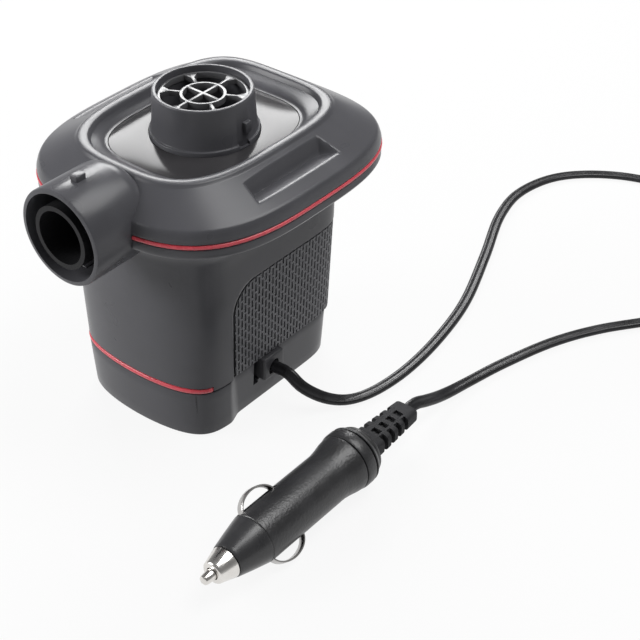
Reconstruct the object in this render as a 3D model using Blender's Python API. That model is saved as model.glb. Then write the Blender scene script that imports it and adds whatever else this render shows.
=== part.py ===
"""Electric air mattress pump with a 12 volt accessory plug, as an assembly of separate pieces.

Metres, +Z up. The origin lies on the motor axis in the standing plane. The outlet nozzle faces -Y and
the cord leaves on +X. Run with blender --background --python part.py, or from the text editor.
"""

import math

import bmesh
import bpy
import numpy as np
from mathutils import Matrix, Vector

MM = 0.001

# Fits between pieces
SEAT_GAP = 0.3 * MM
RUN_GAP = 0.3 * MM
PRESS_GAP = 0.15 * MM
CUT_MARGIN = 2.0 * MM

# Lid outline and heights
LID_HALF_X = 56.0 * MM
LID_HALF_Y = 62.4 * MM
LID_POWER = 2.95
LID_CENTRE_X = 0.8 * MM
LID_CENTRE_Y = 0.8 * MM
LID_WALL = 2.2 * MM
SEAM_Z = 102.3 * MM
TRIM_HEIGHT = 1.7 * MM
SHOULDER_HEIGHT = 4.6 * MM
SHOULDER_ROUND = 1.3 * MM
SLOPE_RISE = 2.3 * MM
BEAD_INSET_X = 20.5 * MM
BEAD_INSET_Y = 16.7 * MM
BEAD_POWER = 3.2
BEAD_RISE = 16.4 * MM
BEAD_WIDTH = 2.6 * MM
BEAD_HEIGHT = 1.7 * MM

# Top panel, intake port and grille
PANEL_INSET_X = 6.2 * MM
PANEL_INSET_Y = 9.4 * MM
PANEL_POWER = 3.1
PANEL_RISE = 11.5 * MM
PANEL_THICK = 1.2 * MM
PORT_RADIUS = 19.5 * MM
PORT_WALL = 1.6 * MM
PORT_HEIGHT = 18.1 * MM
PORT_DRAFT = 1.0 * MM
PORT_COLLAR_STEP = 1.1 * MM
PORT_COLLAR_HEIGHT = 1.6 * MM
PORT_LEDGE = 1.2 * MM
GRILLE_DROP = 2.4 * MM
GRILLE_THICK = 2.4 * MM
GRILLE_BAR = 1.2 * MM
GRILLE_RING_RADIUS = 8.4 * MM
GRILLE_SPOKES = 6
GUSSET_REACH = 3.6 * MM

# Outlet nozzle and the spout inside it
NOZZLE_RADIUS = 19.5 * MM
NOZZLE_WALL = 2.1 * MM
NOZZLE_RISE = 0.9 * MM
NOZZLE_END_Y = -77.7 * MM
NOZZLE_DOME_Y = -54.0 * MM
NOZZLE_BACK_Y = -47.0 * MM
NOZZLE_CUP_DEPTH = 16.0 * MM
SPOUT_RADIUS = 12.7 * MM
SPOUT_BORE = 10.7 * MM
LUG_LENGTH = 4.6 * MM
LUG_WIDTH = 3.8 * MM
LUG_HEIGHT = 2.2 * MM
LUG_ROOT = 0.6 * MM
LUG_EDGE = 0.4 * MM
NOZZLE_LUG_SETBACK = 9.4 * MM
PORT_LUG_SETBACK = 8.0 * MM
PORT_LUG_TURN = 4.0

# Finger pockets in the lid's two long shoulders
POCKET_LENGTH = 51.0 * MM
POCKET_INSET = 16.0 * MM
POCKET_FLOOR_Z = 110.8 * MM
POCKET_LEAN = 3.0 * MM
POCKET_REACH = 13.0 * MM
TRAY_BEVEL = 5.6 * MM
TRAY_EDGE = 2.2 * MM
TRAY_CREST = 2.4 * MM
TRAY_DROP = 2.8 * MM

# Body plan, wall and flange
BODY_HALF_X = 35.1 * MM
BODY_HALF_Y = 47.4 * MM
BODY_POWER_X = 2.0
BODY_POWER_Y = 9.0
BODY_CENTRE_X = -1.6 * MM
BODY_DRAFT_X = 2.4 * MM
BODY_DRAFT_Y = 1.3 * MM
BODY_WALL = 3.0 * MM
FLARE_DROP = 22.3 * MM
FLANGE_LIP = 4.2 * MM
BULKHEAD_THICK = 2.5 * MM
BASE_HEIGHT = 22.3 * MM
BASE_WALL = 2.5 * MM
BASE_TUCK = 0.5 * MM
BASE_EDGE = 1.0 * MM

# Recessed band with its two grip panels, from one front corner round the back to the other
GRIP_FRONT_Y = -25.5 * MM
GRIP_DROP = 13.5 * MM
GRIP_LIFT = 0.3 * MM
GRIP_DEPTH = 2.3 * MM
GRIP_LEAN = 1.15 * MM
GRIP_THICK = 0.7 * MM
GRIP_CORNER = 13.0 * MM
GRIP_SLANT = 1.6 * MM
GRIP_STATIONS = (6.0 * MM, 22.0 * MM, 34.0 * MM)
GRIP_TURNS = (20, 30, 38, 46, 54, 63, 75)

# Red trim along the front of the base seam
STRIP_HEIGHT = 1.5 * MM
STRIP_DEPTH = 1.5 * MM
STRIP_PROUD = 0.2 * MM
STRIP_END_TURN = 17.0
STRIP_STEPS = 14

# Volute, impeller and motor
CASE_RADIUS = 31.0 * MM
CASE_WALL = 2.0 * MM
CASE_DROP = 16.3 * MM
CASE_RISE = 5.7 * MM
THROAT_HALF_X = 11.0 * MM
THROAT_DROP = 10.3 * MM
THROAT_WALL = 2.0 * MM
EYE_RADIUS = 14.0 * MM
INLET_THICK = 1.3 * MM
IMPELLER_RADIUS = 26.0 * MM
IMPELLER_CLEAR = 1.3 * MM
IMPELLER_DISC = 1.5 * MM
BLADE_COUNT = 9
BLADE_HEIGHT = 12.0 * MM
BLADE_THICK = 1.3 * MM
BLADE_INNER_RADIUS = 11.0 * MM
BLADE_SWEEP = 42.0
HUB_RADIUS = 4.6 * MM
SHAFT_RADIUS = 1.6 * MM
SHAFT_LOW_Z = 23.6 * MM
CAN_RADIUS = 17.8 * MM
CAN_WALL = 1.3 * MM
CAN_LOW_Z = 28.3 * MM
BOSS_RADIUS = 5.0 * MM
BOSS_HEIGHT = 1.6 * MM
BUSH_RADIUS = 3.4 * MM
BUSH_HEIGHT = 3.6 * MM
MAGNET_THICK = 2.6 * MM
MAGNET_LOW_Z = 37.0 * MM
MAGNET_DROP = 9.7 * MM
MAGNET_ARC = 138.0
AIR_GAP = 0.8 * MM
STACK_INSET = 6.0 * MM
STACK_CORE = 5.4 * MM
POLE_COUNT = 5
POLE_NECK = 3.4 * MM
POLE_SHOE = 2.2 * MM
WINDING_OVERHANG = 4.0 * MM
COMMUTATOR_RADIUS = 4.2 * MM
COMMUTATOR_LOW_Z = 30.0 * MM
COMMUTATOR_HIGH_Z = 37.0 * MM
END_CAP_THICK = 3.0 * MM
BRUSH_WIDTH = 3.2 * MM
BRUSH_HEIGHT = 4.0 * MM
TERMINAL_WIDTH = 3.0 * MM
TERMINAL_THICK = 0.9 * MM
TERMINAL_DROP = 6.0 * MM
TERMINAL_OFFSET = 9.0 * MM
CUSHION_THICK = 1.4 * MM
CUSHION_HEIGHT = 6.0 * MM
CRADLE_WALL = 2.2 * MM
CRADLE_STEP = 3.0 * MM

# Gland and inner leads
GLAND_CENTRE_Y = -3.0 * MM
GLAND_WIDTH = 12.6 * MM
GLAND_HEIGHT = 9.6 * MM
GLAND_PROUD = 4.6 * MM
GLAND_LENGTH = 9.6 * MM
GLAND_SLOT = 2.0 * MM
GLAND_SLOT_DEPTH = 1.2 * MM
GLAND_SLOT_DROP = 3.0 * MM
GLAND_ROUND = 0.8 * MM
LEAD_DIAMETER = 2.2 * MM
LEAD_SPREAD = 2.6 * MM
LEAD_LOW_Z = 11.0 * MM

# Flat twin cord: its section, its two stretches and the coil of the unseen length
CORD_WIDTH = 5.2 * MM
CORD_THICK = 2.6 * MM
CORD_WAIST = 1.9 * MM
PUMP_STRETCH = [(50, -1.6, 11.6), (57, 5, 5.6), (62.5, 14, 2.2), (66.5, 27, 1.4), (68, 47, 1.4)]
PUMP_STRETCH += [(65.5, 73, 1.4), (59, 102, 1.4), (45.6, 137, 1.4), (31.5, 171, 1.4), (27.5, 197, 1.4)]
PUMP_STRETCH += [(36, 222, 1.4), (60, 241, 1.4), (96, 249.5, 1.8)]
PLUG_STRETCH = [(92.2, 27, 8.8), (92.2, 40, 4.2), (93.6, 55, 1.9), (97.5, 74, 1.4), (105.5, 99.5, 1.4)]
PLUG_STRETCH += [(116.5, 121, 1.4), (132, 142, 1.5), (150, 164.5, 3.2)]
COIL_CENTRE_X = 137.0 * MM
COIL_CENTRE_Y = 213.5 * MM
COIL_OUTER_RADIUS = 37.5 * MM
COIL_TURNS_PER_LAYER = 3.17
COIL_START_ANGLE = 90.0
COIL_PITCH = 5.6 * MM
COIL_LAYER = 2.9 * MM
COIL_FIRST_Z = 2.3 * MM
COIL_STEPS_PER_TURN = 20
TIE_WALL = 0.6 * MM
TIE_WIDTH = 7.0 * MM
TIE_ANGLE = 210.0
TIE_SLACK = 0.9 * MM

# Accessory plug, turned about its own axis along Y
PLUG_X = 91.8 * MM
PLUG_RADIUS = 10.4 * MM
PLUG_NOSE_RADIUS = 6.9 * MM
PLUG_COLLAR_RADIUS = 12.4 * MM
PLUG_ROLL = -45.0
PLUG_FRONT_Y = -95.2 * MM
PLUG_TAPER_Y = -81.0 * MM
PLUG_FLARE_Y = -38.0 * MM
PLUG_SEAM_Y = -28.0 * MM
PLUG_REAR_Y = -19.6 * MM
PLUG_DISC_THICK = 2.0 * MM
PLUG_DISC_RADIUS = 10.2 * MM
NOSE_LENGTH = 7.4 * MM
NOSE_STEP_RADIUS = 5.2 * MM
TIP_RADIUS = 2.6 * MM
TIP_OUT = 5.0 * MM
TIP_HEAD_RADIUS = 3.3 * MM
TIP_TRAVEL = 4.0 * MM
FUSE_RADIUS = 3.1 * MM
FUSE_LENGTH = 25.0 * MM
SPRING_LENGTH = 11.0 * MM
SPRING_WIRE = 0.7 * MM
SPRING_TURNS = 6
SPRING_STEPS = 10
CONTACT_LENGTH = 18.0 * MM
CONTACT_FRONT_Y = -79.5 * MM
CONTACT_RISE = 4.8 * MM
CONTACT_WIDTH = 3.4 * MM
CONTACT_THICK = 0.8 * MM
CONTACT_TRAVEL = 2.5 * MM
CONTACT_FOOT = 1.6 * MM
BOOT_LENGTH = 30.0 * MM
BOOT_WIDE = 13.2 * MM
BOOT_NARROW = 9.0 * MM
BOOT_THICK = 7.4 * MM
BOOT_THIN = 6.0 * MM
BOOT_NOTCHES = 4
BOOT_NOTCH_LENGTH = 1.9 * MM
BOOT_NOTCH_PITCH = 4.0 * MM
BOOT_NOTCH_DEPTH = 1.6 * MM

LID_SIDES = 48
BODY_SIDES = 44
ROUND_SIDES = 26
MOTOR_SIDES = 20
SMALL_SIDES = 16

# Heights and radii that follow from the driving dimensions
LID_Z = SEAM_Z + TRIM_HEIGHT
BEAD_Z = SEAM_Z + BEAD_RISE
PANEL_TOP_Z = SEAM_Z + PANEL_RISE
PORT_TOP_Z = PANEL_TOP_Z + PORT_HEIGHT
NOZZLE_Z = SEAM_Z + NOZZLE_RISE
FLARE_Z = SEAM_Z - FLARE_DROP
GRIP_TOP_Z = FLARE_Z - GRIP_DROP
CASE_FLOOR_Z = SEAM_Z - CASE_DROP
CASE_TOP_Z = SEAM_Z + CASE_RISE
THROAT_LOW_Z = SEAM_Z - THROAT_DROP
BEAD_HALF_X = LID_HALF_X - BEAD_INSET_X
BEAD_HALF_Y = LID_HALF_Y - BEAD_INSET_Y
PANEL_HALF_X = BEAD_HALF_X - PANEL_INSET_X
PANEL_HALF_Y = BEAD_HALF_Y - PANEL_INSET_Y
POCKET_WALL_X = LID_HALF_X - POCKET_INSET
GLAND_OUT_X = BODY_CENTRE_X + BODY_HALF_X + GLAND_PROUD
GLAND_IN_X = GLAND_OUT_X - GLAND_LENGTH
PORT_BORE = PORT_RADIUS - PORT_WALL
RECESS_Z = PANEL_TOP_Z - PANEL_THICK - SEAT_GAP
GRILLE_TOP_Z = PORT_TOP_Z - GRILLE_DROP
GRILLE_LOW_Z = GRILLE_TOP_Z - GRILLE_THICK
INLET_LOW_Z = CASE_TOP_Z + SEAT_GAP
ROOF_Z = INLET_LOW_Z + INLET_THICK + SEAT_GAP
CAN_TOP_Z = CASE_FLOOR_Z - SEAT_GAP
MAGNET_HIGH_Z = CAN_TOP_Z - MAGNET_DROP
STACK_LOW_Z = MAGNET_LOW_Z + STACK_INSET
STACK_HIGH_Z = MAGNET_HIGH_Z - STACK_INSET
BULKHEAD_Z = CASE_FLOOR_Z - SEAT_GAP
BODY_LOW_Z = BASE_HEIGHT + SEAT_GAP
DISC_LOW_Z = CASE_FLOOR_Z + CASE_WALL + IMPELLER_CLEAR
CAN_BORE = CAN_RADIUS - CAN_WALL
MAGNET_RADIUS = CAN_BORE - SEAT_GAP
ARMATURE_RADIUS = MAGNET_RADIUS - MAGNET_THICK - AIR_GAP
CRADLE_BORE = CAN_RADIUS + CUSHION_THICK + 2 * SEAT_GAP
CRADLE_NECK = CRADLE_BORE - CUSHION_THICK - CRADLE_STEP
END_CAP_LOW_Z = CAN_LOW_Z - END_CAP_THICK - SEAT_GAP
BRUSH_Z = (COMMUTATOR_LOW_Z + COMMUTATOR_HIGH_Z) / 2
PLUG_AXIS_Z = PLUG_COLLAR_RADIUS
GLAND_TOP_Z = BASE_HEIGHT
CORD_EXIT = Vector((GLAND_OUT_X, GLAND_CENTRE_Y, GLAND_TOP_Z - GLAND_HEIGHT * 0.6))


def clear_scene():
    for old in list(bpy.data.objects):
        bpy.data.objects.remove(old, do_unlink=True)


def material(name, colour, roughness, metallic=0.0):
    made = bpy.data.materials.new(name)
    made.use_nodes = True
    shader = made.node_tree.nodes["Principled BSDF"]
    shader.inputs["Base Color"].default_value = (*colour, 1.0)
    shader.inputs["Roughness"].default_value = roughness
    shader.inputs["Metallic"].default_value = metallic
    return made


def piece(name, mesh, finish, parent=None):
    """One named object from a bmesh, with its faces turned outwards."""
    bmesh.ops.recalc_face_normals(mesh, faces=mesh.faces[:])
    data = bpy.data.meshes.new(name)
    mesh.to_mesh(data)
    mesh.free()
    data.shade_smooth()
    data.set_sharp_from_angle(angle=math.radians(35))
    made = bpy.data.objects.new(name, data)
    bpy.context.scene.collection.objects.link(made)
    made.data.materials.append(finish)
    made.parent = parent
    return made


def helper(name, mesh):
    made = piece(name, mesh, HELPER_FINISH)
    made.hide_render = True
    made.display_type = "WIRE"
    return made


def combine(target, other, operation):
    step = target.modifiers.new(other.name, "BOOLEAN")
    step.operation = operation
    step.object = other
    step.solver = "EXACT"
    return target


def outline(half_x, half_y, power_x, power_y, z, sides, centre=(0.0, 0.0)):
    """A ring of points on a rounded rectangle: |x/a|^p + |y/b|^q = 1."""
    ring = []
    for k in range(sides):
        turn = 2 * math.pi * k / sides
        c, s = math.cos(turn), math.sin(turn)
        x = math.copysign(abs(c) ** (2 / power_x), c) * half_x
        y = math.copysign(abs(s) ** (2 / power_y), s) * half_y
        ring.append(Vector((centre[0] + x, centre[1] + y, z)))
    return ring


def circle(radius, z, sides):
    return outline(radius, radius, 2.0, 2.0, z, sides)


def loft(rings, loop=False):
    """Skin through rings of equal count, capped at both ends, or closed into a loop."""
    mesh = bmesh.new()
    rows = [[mesh.verts.new(point) for point in ring] for ring in rings]
    pairs = list(zip(rows, rows[1:]))
    if loop:
        pairs.append((rows[-1], rows[0]))
    for low, high in pairs:
        for k in range(len(low)):
            n = (k + 1) % len(low)
            mesh.faces.new((low[k], low[n], high[n], high[k]))
    if not loop:
        mesh.faces.new(list(reversed(rows[0])))
        mesh.faces.new(rows[-1])
    return mesh


def turned(profile, sides, loop=False):
    """A profile of (radius, height) pairs turned about Z; a loop profile leaves a bore."""
    return loft([circle(radius, z, sides) for radius, z in profile], loop)


def along_y(mesh, x, z):
    """Lays a piece turned about Z along the Y axis: its height becomes +Y."""
    turn = Matrix(((1, 0, 0, x), (0, 0, 1, 0), (0, -1, 0, z), (0, 0, 0, 1)))
    bmesh.ops.transform(mesh, matrix=turn, verts=mesh.verts[:])
    return mesh


def block(low, high, bevel=0.0):
    mesh = bmesh.new()
    bmesh.ops.create_cube(mesh, size=1.0)
    size = Vector(high) - Vector(low)
    middle = (Vector(high) + Vector(low)) / 2
    bmesh.ops.scale(mesh, vec=size, verts=mesh.verts[:])
    bmesh.ops.translate(mesh, vec=middle, verts=mesh.verts[:])
    if bevel:
        edges = mesh.edges[:]
        bmesh.ops.bevel(mesh, geom=edges, offset=bevel, segments=2, profile=0.5, affect="EDGES")
    return mesh


def prism(points, start, end):
    """A flat outline of 3D points, swept from start to end."""
    ring = [Vector(point) for point in points]
    return loft([[p + Vector(start) for p in ring], [p + Vector(end) for p in ring]])


def merged(meshes):
    """Several closed bodies in one mesh, for one Boolean step."""
    whole = bmesh.new()
    for mesh in meshes:
        data = bpy.data.meshes.new("merge")
        bmesh.ops.recalc_face_normals(mesh, faces=mesh.faces[:])
        mesh.to_mesh(data)
        mesh.free()
        whole.from_mesh(data)
        bpy.data.meshes.remove(data)
    return whole


def joint_empty(name, place):
    made = bpy.data.objects.new(name, None)
    made.location = place
    bpy.context.scene.collection.objects.link(made)
    return made


def smooth_route(points, spacing, start, end):
    """Evenly spaced points on a smooth curve that leaves along start and arrives along end."""
    knots = [Vector(point) for point in points]
    first = knots[1] - start * 2 * (knots[1] - knots[0]).length
    last = knots[-2] + end * 2 * (knots[-1] - knots[-2]).length
    ends = [first] + knots + [last]
    fine = []
    for a, b, c, d in zip(ends, ends[1:], ends[2:], ends[3:]):
        for k in range(16):
            t = k / 16
            bend = (2 * a - 5 * b + 4 * c - d) * t * t + (3 * b - 3 * c + d - a) * t ** 3
            fine.append(b + ((c - a) * t + bend) / 2)
    fine.append(knots[-1])
    lengths = [0.0]
    for p, q in zip(fine, fine[1:]):
        lengths.append(lengths[-1] + (q - p).length)
    count = max(4, round(lengths[-1] / spacing))
    wanted = np.linspace(0, lengths[-1], count + 1)
    table = np.array(fine)
    return [Vector([np.interp(s, lengths, table[:, axis]) for axis in range(3)]) for s in wanted]


def tube(name, points, diameter, finish, resolution):
    """A round tube along points, as a bevelled curve with filled caps."""
    data = bpy.data.curves.new(name, "CURVE")
    data.dimensions = "3D"
    data.bevel_depth = diameter / 2
    data.bevel_resolution = resolution
    data.use_fill_caps = True
    line = data.splines.new("POLY")
    line.points.add(len(points) - 1)
    for slot, point in zip(line.points, points):
        slot.co = (*point, 1.0)
    line.use_smooth = True
    data.materials.append(finish)
    made = bpy.data.objects.new(name, data)
    bpy.context.scene.collection.objects.link(made)
    return made


def lid_ring(inset, z):
    centre = (LID_CENTRE_X, LID_CENTRE_Y)
    return outline(LID_HALF_X - inset, LID_HALF_Y - inset, LID_POWER, LID_POWER, z, LID_SIDES, centre)


def bead_ring(inset, z):
    return outline(BEAD_HALF_X - inset, BEAD_HALF_Y - inset, BEAD_POWER, BEAD_POWER, z, LID_SIDES)


def panel_ring(inset, z):
    return outline(PANEL_HALF_X - inset, PANEL_HALF_Y - inset, PANEL_POWER, PANEL_POWER, z, LID_SIDES)


def body_point(turn, inset, z):
    """A point of the body's plan at a height: flat flanks, bowed front and back, a little draft."""
    half_x = BODY_HALF_X + BODY_DRAFT_X * z / FLARE_Z - inset
    half_y = BODY_HALF_Y + BODY_DRAFT_Y * z / FLARE_Z - inset
    c, s = math.cos(turn), math.sin(turn)
    x = math.copysign(abs(c) ** (2 / BODY_POWER_X), c) * half_x
    y = math.copysign(abs(s) ** (2 / BODY_POWER_Y), s) * half_y
    return Vector((BODY_CENTRE_X + x, y, z))


def body_ring(inset, z, sides=BODY_SIDES):
    return [body_point(2 * math.pi * k / sides, inset, z) for k in range(sides)]


def nozzle_form(grow):
    """The nozzle's outer form: a straight tube whose inner end rounds off into the lid."""
    steps = 5
    profile = [
        (NOZZLE_RADIUS + grow - 0.5 * MM, NOZZLE_END_Y - grow),
        (NOZZLE_RADIUS + grow, NOZZLE_END_Y + 0.5 * MM),
    ]
    depth = NOZZLE_BACK_Y - NOZZLE_DOME_Y
    drop = NOZZLE_RADIUS - SPOUT_RADIUS - 1.5 * MM
    for k in range(steps + 1):
        turn = math.pi / 2 * k / steps
        radius = NOZZLE_RADIUS + grow - drop * (1 - math.cos(turn))
        profile.append((radius, NOZZLE_DOME_Y + depth * math.sin(turn) + grow * math.sin(turn)))
    return along_y(turned(profile, LID_SIDES), 0.0, NOZZLE_Z)


def port_lugs():
    """Two bayonet lugs on opposite sides of a port that stands along Z."""
    low = PORT_TOP_Z - PORT_LUG_SETBACK - LUG_LENGTH
    lugs = []
    for side in (0, 180):
        reach = PORT_RADIUS + LUG_HEIGHT
        lug = block(
            (PORT_BORE + LUG_ROOT, -LUG_WIDTH / 2, low),
            (reach, LUG_WIDTH / 2, low + LUG_LENGTH),
            LUG_EDGE,
        )
        turn = Matrix.Rotation(math.radians(PORT_LUG_TURN + side), 4, "Z")
        bmesh.ops.transform(lug, matrix=turn, verts=lug.verts[:])
        lugs.append(lug)
    return merged(lugs)


def nozzle_lugs():
    """Two bayonet lugs, above and below the nozzle."""
    lugs = []
    start = NOZZLE_END_Y + NOZZLE_LUG_SETBACK
    for side in (1, -1):
        low = NOZZLE_RADIUS - NOZZLE_WALL + LUG_ROOT
        ends = sorted((NOZZLE_Z + side * low, NOZZLE_Z + side * (NOZZLE_RADIUS + LUG_HEIGHT)))
        box = (-LUG_WIDTH / 2, start, ends[0]), (LUG_WIDTH / 2, start + LUG_LENGTH, ends[1])
        lugs.append(block(*box, LUG_EDGE))
    return merged(lugs)


def make_top_cover():
    """The lid: one moulding from skirt to bead, dish, port and nozzle."""
    shoulder_z = LID_Z + SHOULDER_HEIGHT
    foot_z = BEAD_Z - BEAD_HEIGHT
    slope_z = shoulder_z + SHOULDER_ROUND + SLOPE_RISE
    foot_x = (LID_HALF_X - BEAD_HALF_X) * 0.42
    outer = [
        lid_ring(0.2 * MM, LID_Z),
        lid_ring(0.0, LID_Z + 0.4 * MM),
        lid_ring(0.2 * MM, shoulder_z - 1.6 * MM),
    ]
    outer += [lid_ring(0.8 * MM, shoulder_z), lid_ring(2.4 * MM, shoulder_z + SHOULDER_ROUND)]
    outer += [lid_ring(foot_x, slope_z), bead_ring(-BEAD_WIDTH, foot_z)]
    outer += [bead_ring(-0.5 * BEAD_WIDTH, BEAD_Z - 0.4 * MM), bead_ring(0.0, BEAD_Z)]
    outer += [bead_ring(0.5 * BEAD_WIDTH, BEAD_Z - 0.5 * MM), bead_ring(BEAD_WIDTH, foot_z - 0.3 * MM)]
    outer += [
        panel_ring(-1.6 * MM, PANEL_TOP_Z + 0.9 * MM), panel_ring(-0.6 * MM, PANEL_TOP_Z + 0.2 * MM)
    ]
    outer += [panel_ring(-SEAT_GAP, PANEL_TOP_Z), panel_ring(-SEAT_GAP, RECESS_Z)]
    base = PORT_RADIUS + PORT_DRAFT
    collar = base + PORT_COLLAR_STEP
    collar_z = PANEL_TOP_Z + PORT_COLLAR_HEIGHT
    port = [(collar, RECESS_Z), (collar, collar_z), (base, collar_z + 0.5 * MM)]
    port += [(PORT_RADIUS, PORT_TOP_Z - 0.5 * MM), (PORT_RADIUS - 0.4 * MM, PORT_TOP_Z)]
    port += [
        (PORT_BORE + 0.4 * MM, PORT_TOP_Z),
        (PORT_BORE, PORT_TOP_Z - 0.4 * MM),
        (PORT_BORE, GRILLE_LOW_Z - SEAT_GAP),
    ]
    port += [(PORT_BORE - PORT_LEDGE, GRILLE_LOW_Z - SEAT_GAP), (PORT_BORE - PORT_LEDGE, ROOF_Z)]
    inner = [panel_ring(-1.0 * MM, ROOF_Z), bead_ring(BEAD_WIDTH, foot_z - LID_WALL - 0.8 * MM)]
    inner += [
        bead_ring(-BEAD_WIDTH, foot_z - LID_WALL - 0.4 * MM),
        lid_ring(foot_x + 1.0 * MM, slope_z - LID_WALL),
    ]
    inner += [lid_ring(LID_WALL + 1.6 * MM, shoulder_z - 0.8 * MM), lid_ring(LID_WALL, LID_Z)]
    rings = outer + [circle(radius, z, LID_SIDES) for radius, z in port] + inner
    cover = piece("top_cover", loft(rings, loop=True), DARK_SHELL)
    combine(cover, helper("nozzle_solid", nozzle_form(0.0)), "UNION")
    hollow = [(NOZZLE_RADIUS - NOZZLE_WALL, NOZZLE_END_Y - CUT_MARGIN)]
    hollow += [(NOZZLE_RADIUS - NOZZLE_WALL, NOZZLE_END_Y + NOZZLE_CUP_DEPTH)]
    hollow += [
        (SPOUT_RADIUS + SEAT_GAP, NOZZLE_END_Y + NOZZLE_CUP_DEPTH),
        (SPOUT_RADIUS + SEAT_GAP, NOZZLE_BACK_Y + CUT_MARGIN + 2 * SEAT_GAP),
    ]
    hollow = along_y(turned(hollow, LID_SIDES), 0.0, NOZZLE_Z)
    combine(cover, helper("nozzle_hollow", hollow), "DIFFERENCE")
    combine(cover, helper("nozzle_lugs", nozzle_lugs()), "UNION")
    combine(cover, helper("port_lugs", port_lugs()), "UNION")
    combine(cover, helper("pocket_trays", merged([pocket_tray(side) for side in (1, -1)])), "UNION")
    rooms = merged([pocket_room(side) for side in (1, -1)])
    combine(cover, helper("finger_pockets", rooms), "DIFFERENCE")
    return cover


def pocket_tray(side):
    """Solid under a finger pocket, kept below the lid's sloping outside."""
    low = POCKET_FLOOR_Z - LID_WALL
    near, far = POCKET_WALL_X - POCKET_LEAN - LID_WALL, POCKET_WALL_X + POCKET_REACH
    profile = [
        (near, low),
        (far, low),
        (far - TRAY_BEVEL, low + TRAY_EDGE),
        (near + TRAY_CREST, BEAD_Z - TRAY_DROP - LUG_EDGE),
        (near, BEAD_Z - TRAY_DROP),
    ]
    half = POCKET_LENGTH / 2 + LID_WALL
    plan = [(side * x, 0, z) for x, z in profile]
    return prism(plan, (0, -half, 0), (0, half, 0))


def pocket_room(side):
    """The pocket itself: a level floor under leaning walls."""
    far = LID_HALF_X + CUT_MARGIN
    floor = (POCKET_WALL_X, POCKET_LENGTH / 2 - POCKET_LEAN, POCKET_FLOOR_Z)
    mouth = (POCKET_WALL_X - POCKET_LEAN, POCKET_LENGTH / 2, BEAD_Z + CUT_MARGIN)
    rings = []
    for near, half, z in (floor, mouth):
        plan = ((near, -half), (far, -half), (far, half), (near, half))
        rings.append([Vector((side * x, y, z)) for x, y in plan])
    return loft(rings)


def make_top_panel():
    hole = PORT_RADIUS + PORT_DRAFT + PORT_COLLAR_STEP + SEAT_GAP
    low = RECESS_Z + SEAT_GAP
    rings = [
        circle(hole, low, LID_SIDES), panel_ring(0.0, low), panel_ring(0.0, PANEL_TOP_Z - 0.3 * MM)
    ]
    rings += [panel_ring(0.3 * MM, PANEL_TOP_Z), circle(hole, PANEL_TOP_Z, LID_SIDES)]
    return piece("top_panel", loft(rings, loop=True), PALE_PANEL)


def make_grille():
    """Guard in the intake: rim, inner ring with a cross, and spokes that end in gussets."""
    rim = PORT_BORE - SEAT_GAP
    low, high = GRILLE_LOW_Z, GRILLE_TOP_Z
    profile = [(rim - GRILLE_BAR, low), (rim, low), (rim, high), (rim - GRILLE_BAR, high)]
    guard = piece("intake_grille", turned(profile, ROUND_SIDES, loop=True), DARK_SHELL)
    ring = GRILLE_RING_RADIUS
    half = GRILLE_BAR / 2
    inner = [(ring - half, low), (ring + half, low), (ring + half, high), (ring - half, high)]
    combine(guard, helper("grille_spokes", merged(grille_spokes(rim, low, high))), "UNION")
    combine(guard, helper("grille_ring", turned(inner, ROUND_SIDES, loop=True)), "UNION")
    for k in range(2):
        bar = block((-ring, -half, low + 0.1 * MM), (ring, half, high - 0.1 * MM))
        turn = Matrix.Rotation(math.radians(90 * k), 3, "Z")
        bmesh.ops.rotate(bar, cent=(0, 0, 0), matrix=turn, verts=bar.verts[:])
        combine(guard, helper(f"grille_cross_{k}", bar), "UNION")
    return guard


def grille_spokes(rim, low, high):
    spokes = []
    half = GRILLE_BAR / 2
    wide = 2.6 * GRILLE_BAR
    end = rim - GRILLE_BAR / 2
    knee = end - GUSSET_REACH
    for k in range(GRILLE_SPOKES):
        plan = [
            (GRILLE_RING_RADIUS, -half, 0),
            (knee, -half, 0),
            (end, -wide, 0),
            (end, wide, 0),
            (knee, half, 0),
        ]
        plan.append((GRILLE_RING_RADIUS, half, 0))
        spoke = prism(plan, (0, 0, low + 0.2 * MM), (0, 0, high - 0.2 * MM))
        turn = Matrix.Rotation(2 * math.pi * (k + 0.5) / GRILLE_SPOKES, 3, "Z")
        bmesh.ops.rotate(spoke, cent=(0, 0, 0), matrix=turn, verts=spoke.verts[:])
        spokes.append(spoke)
    return spokes


def make_upper_trim(nozzle_cut):
    low, high = SEAM_Z + SEAT_GAP, LID_Z - SEAT_GAP
    rings = [
        lid_ring(LID_WALL + 0.6 * MM, low), lid_ring(0.1 * MM, low), lid_ring(-0.2 * MM, low + 0.4 * MM)
    ]
    rings += [
        lid_ring(-0.2 * MM, high - 0.4 * MM),
        lid_ring(0.1 * MM, high),
        lid_ring(LID_WALL + 0.6 * MM, high),
    ]
    trim = piece("upper_trim_ring", loft(rings, loop=True), RED_TRIM)
    return combine(trim, nozzle_cut, "DIFFERENCE")


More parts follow.
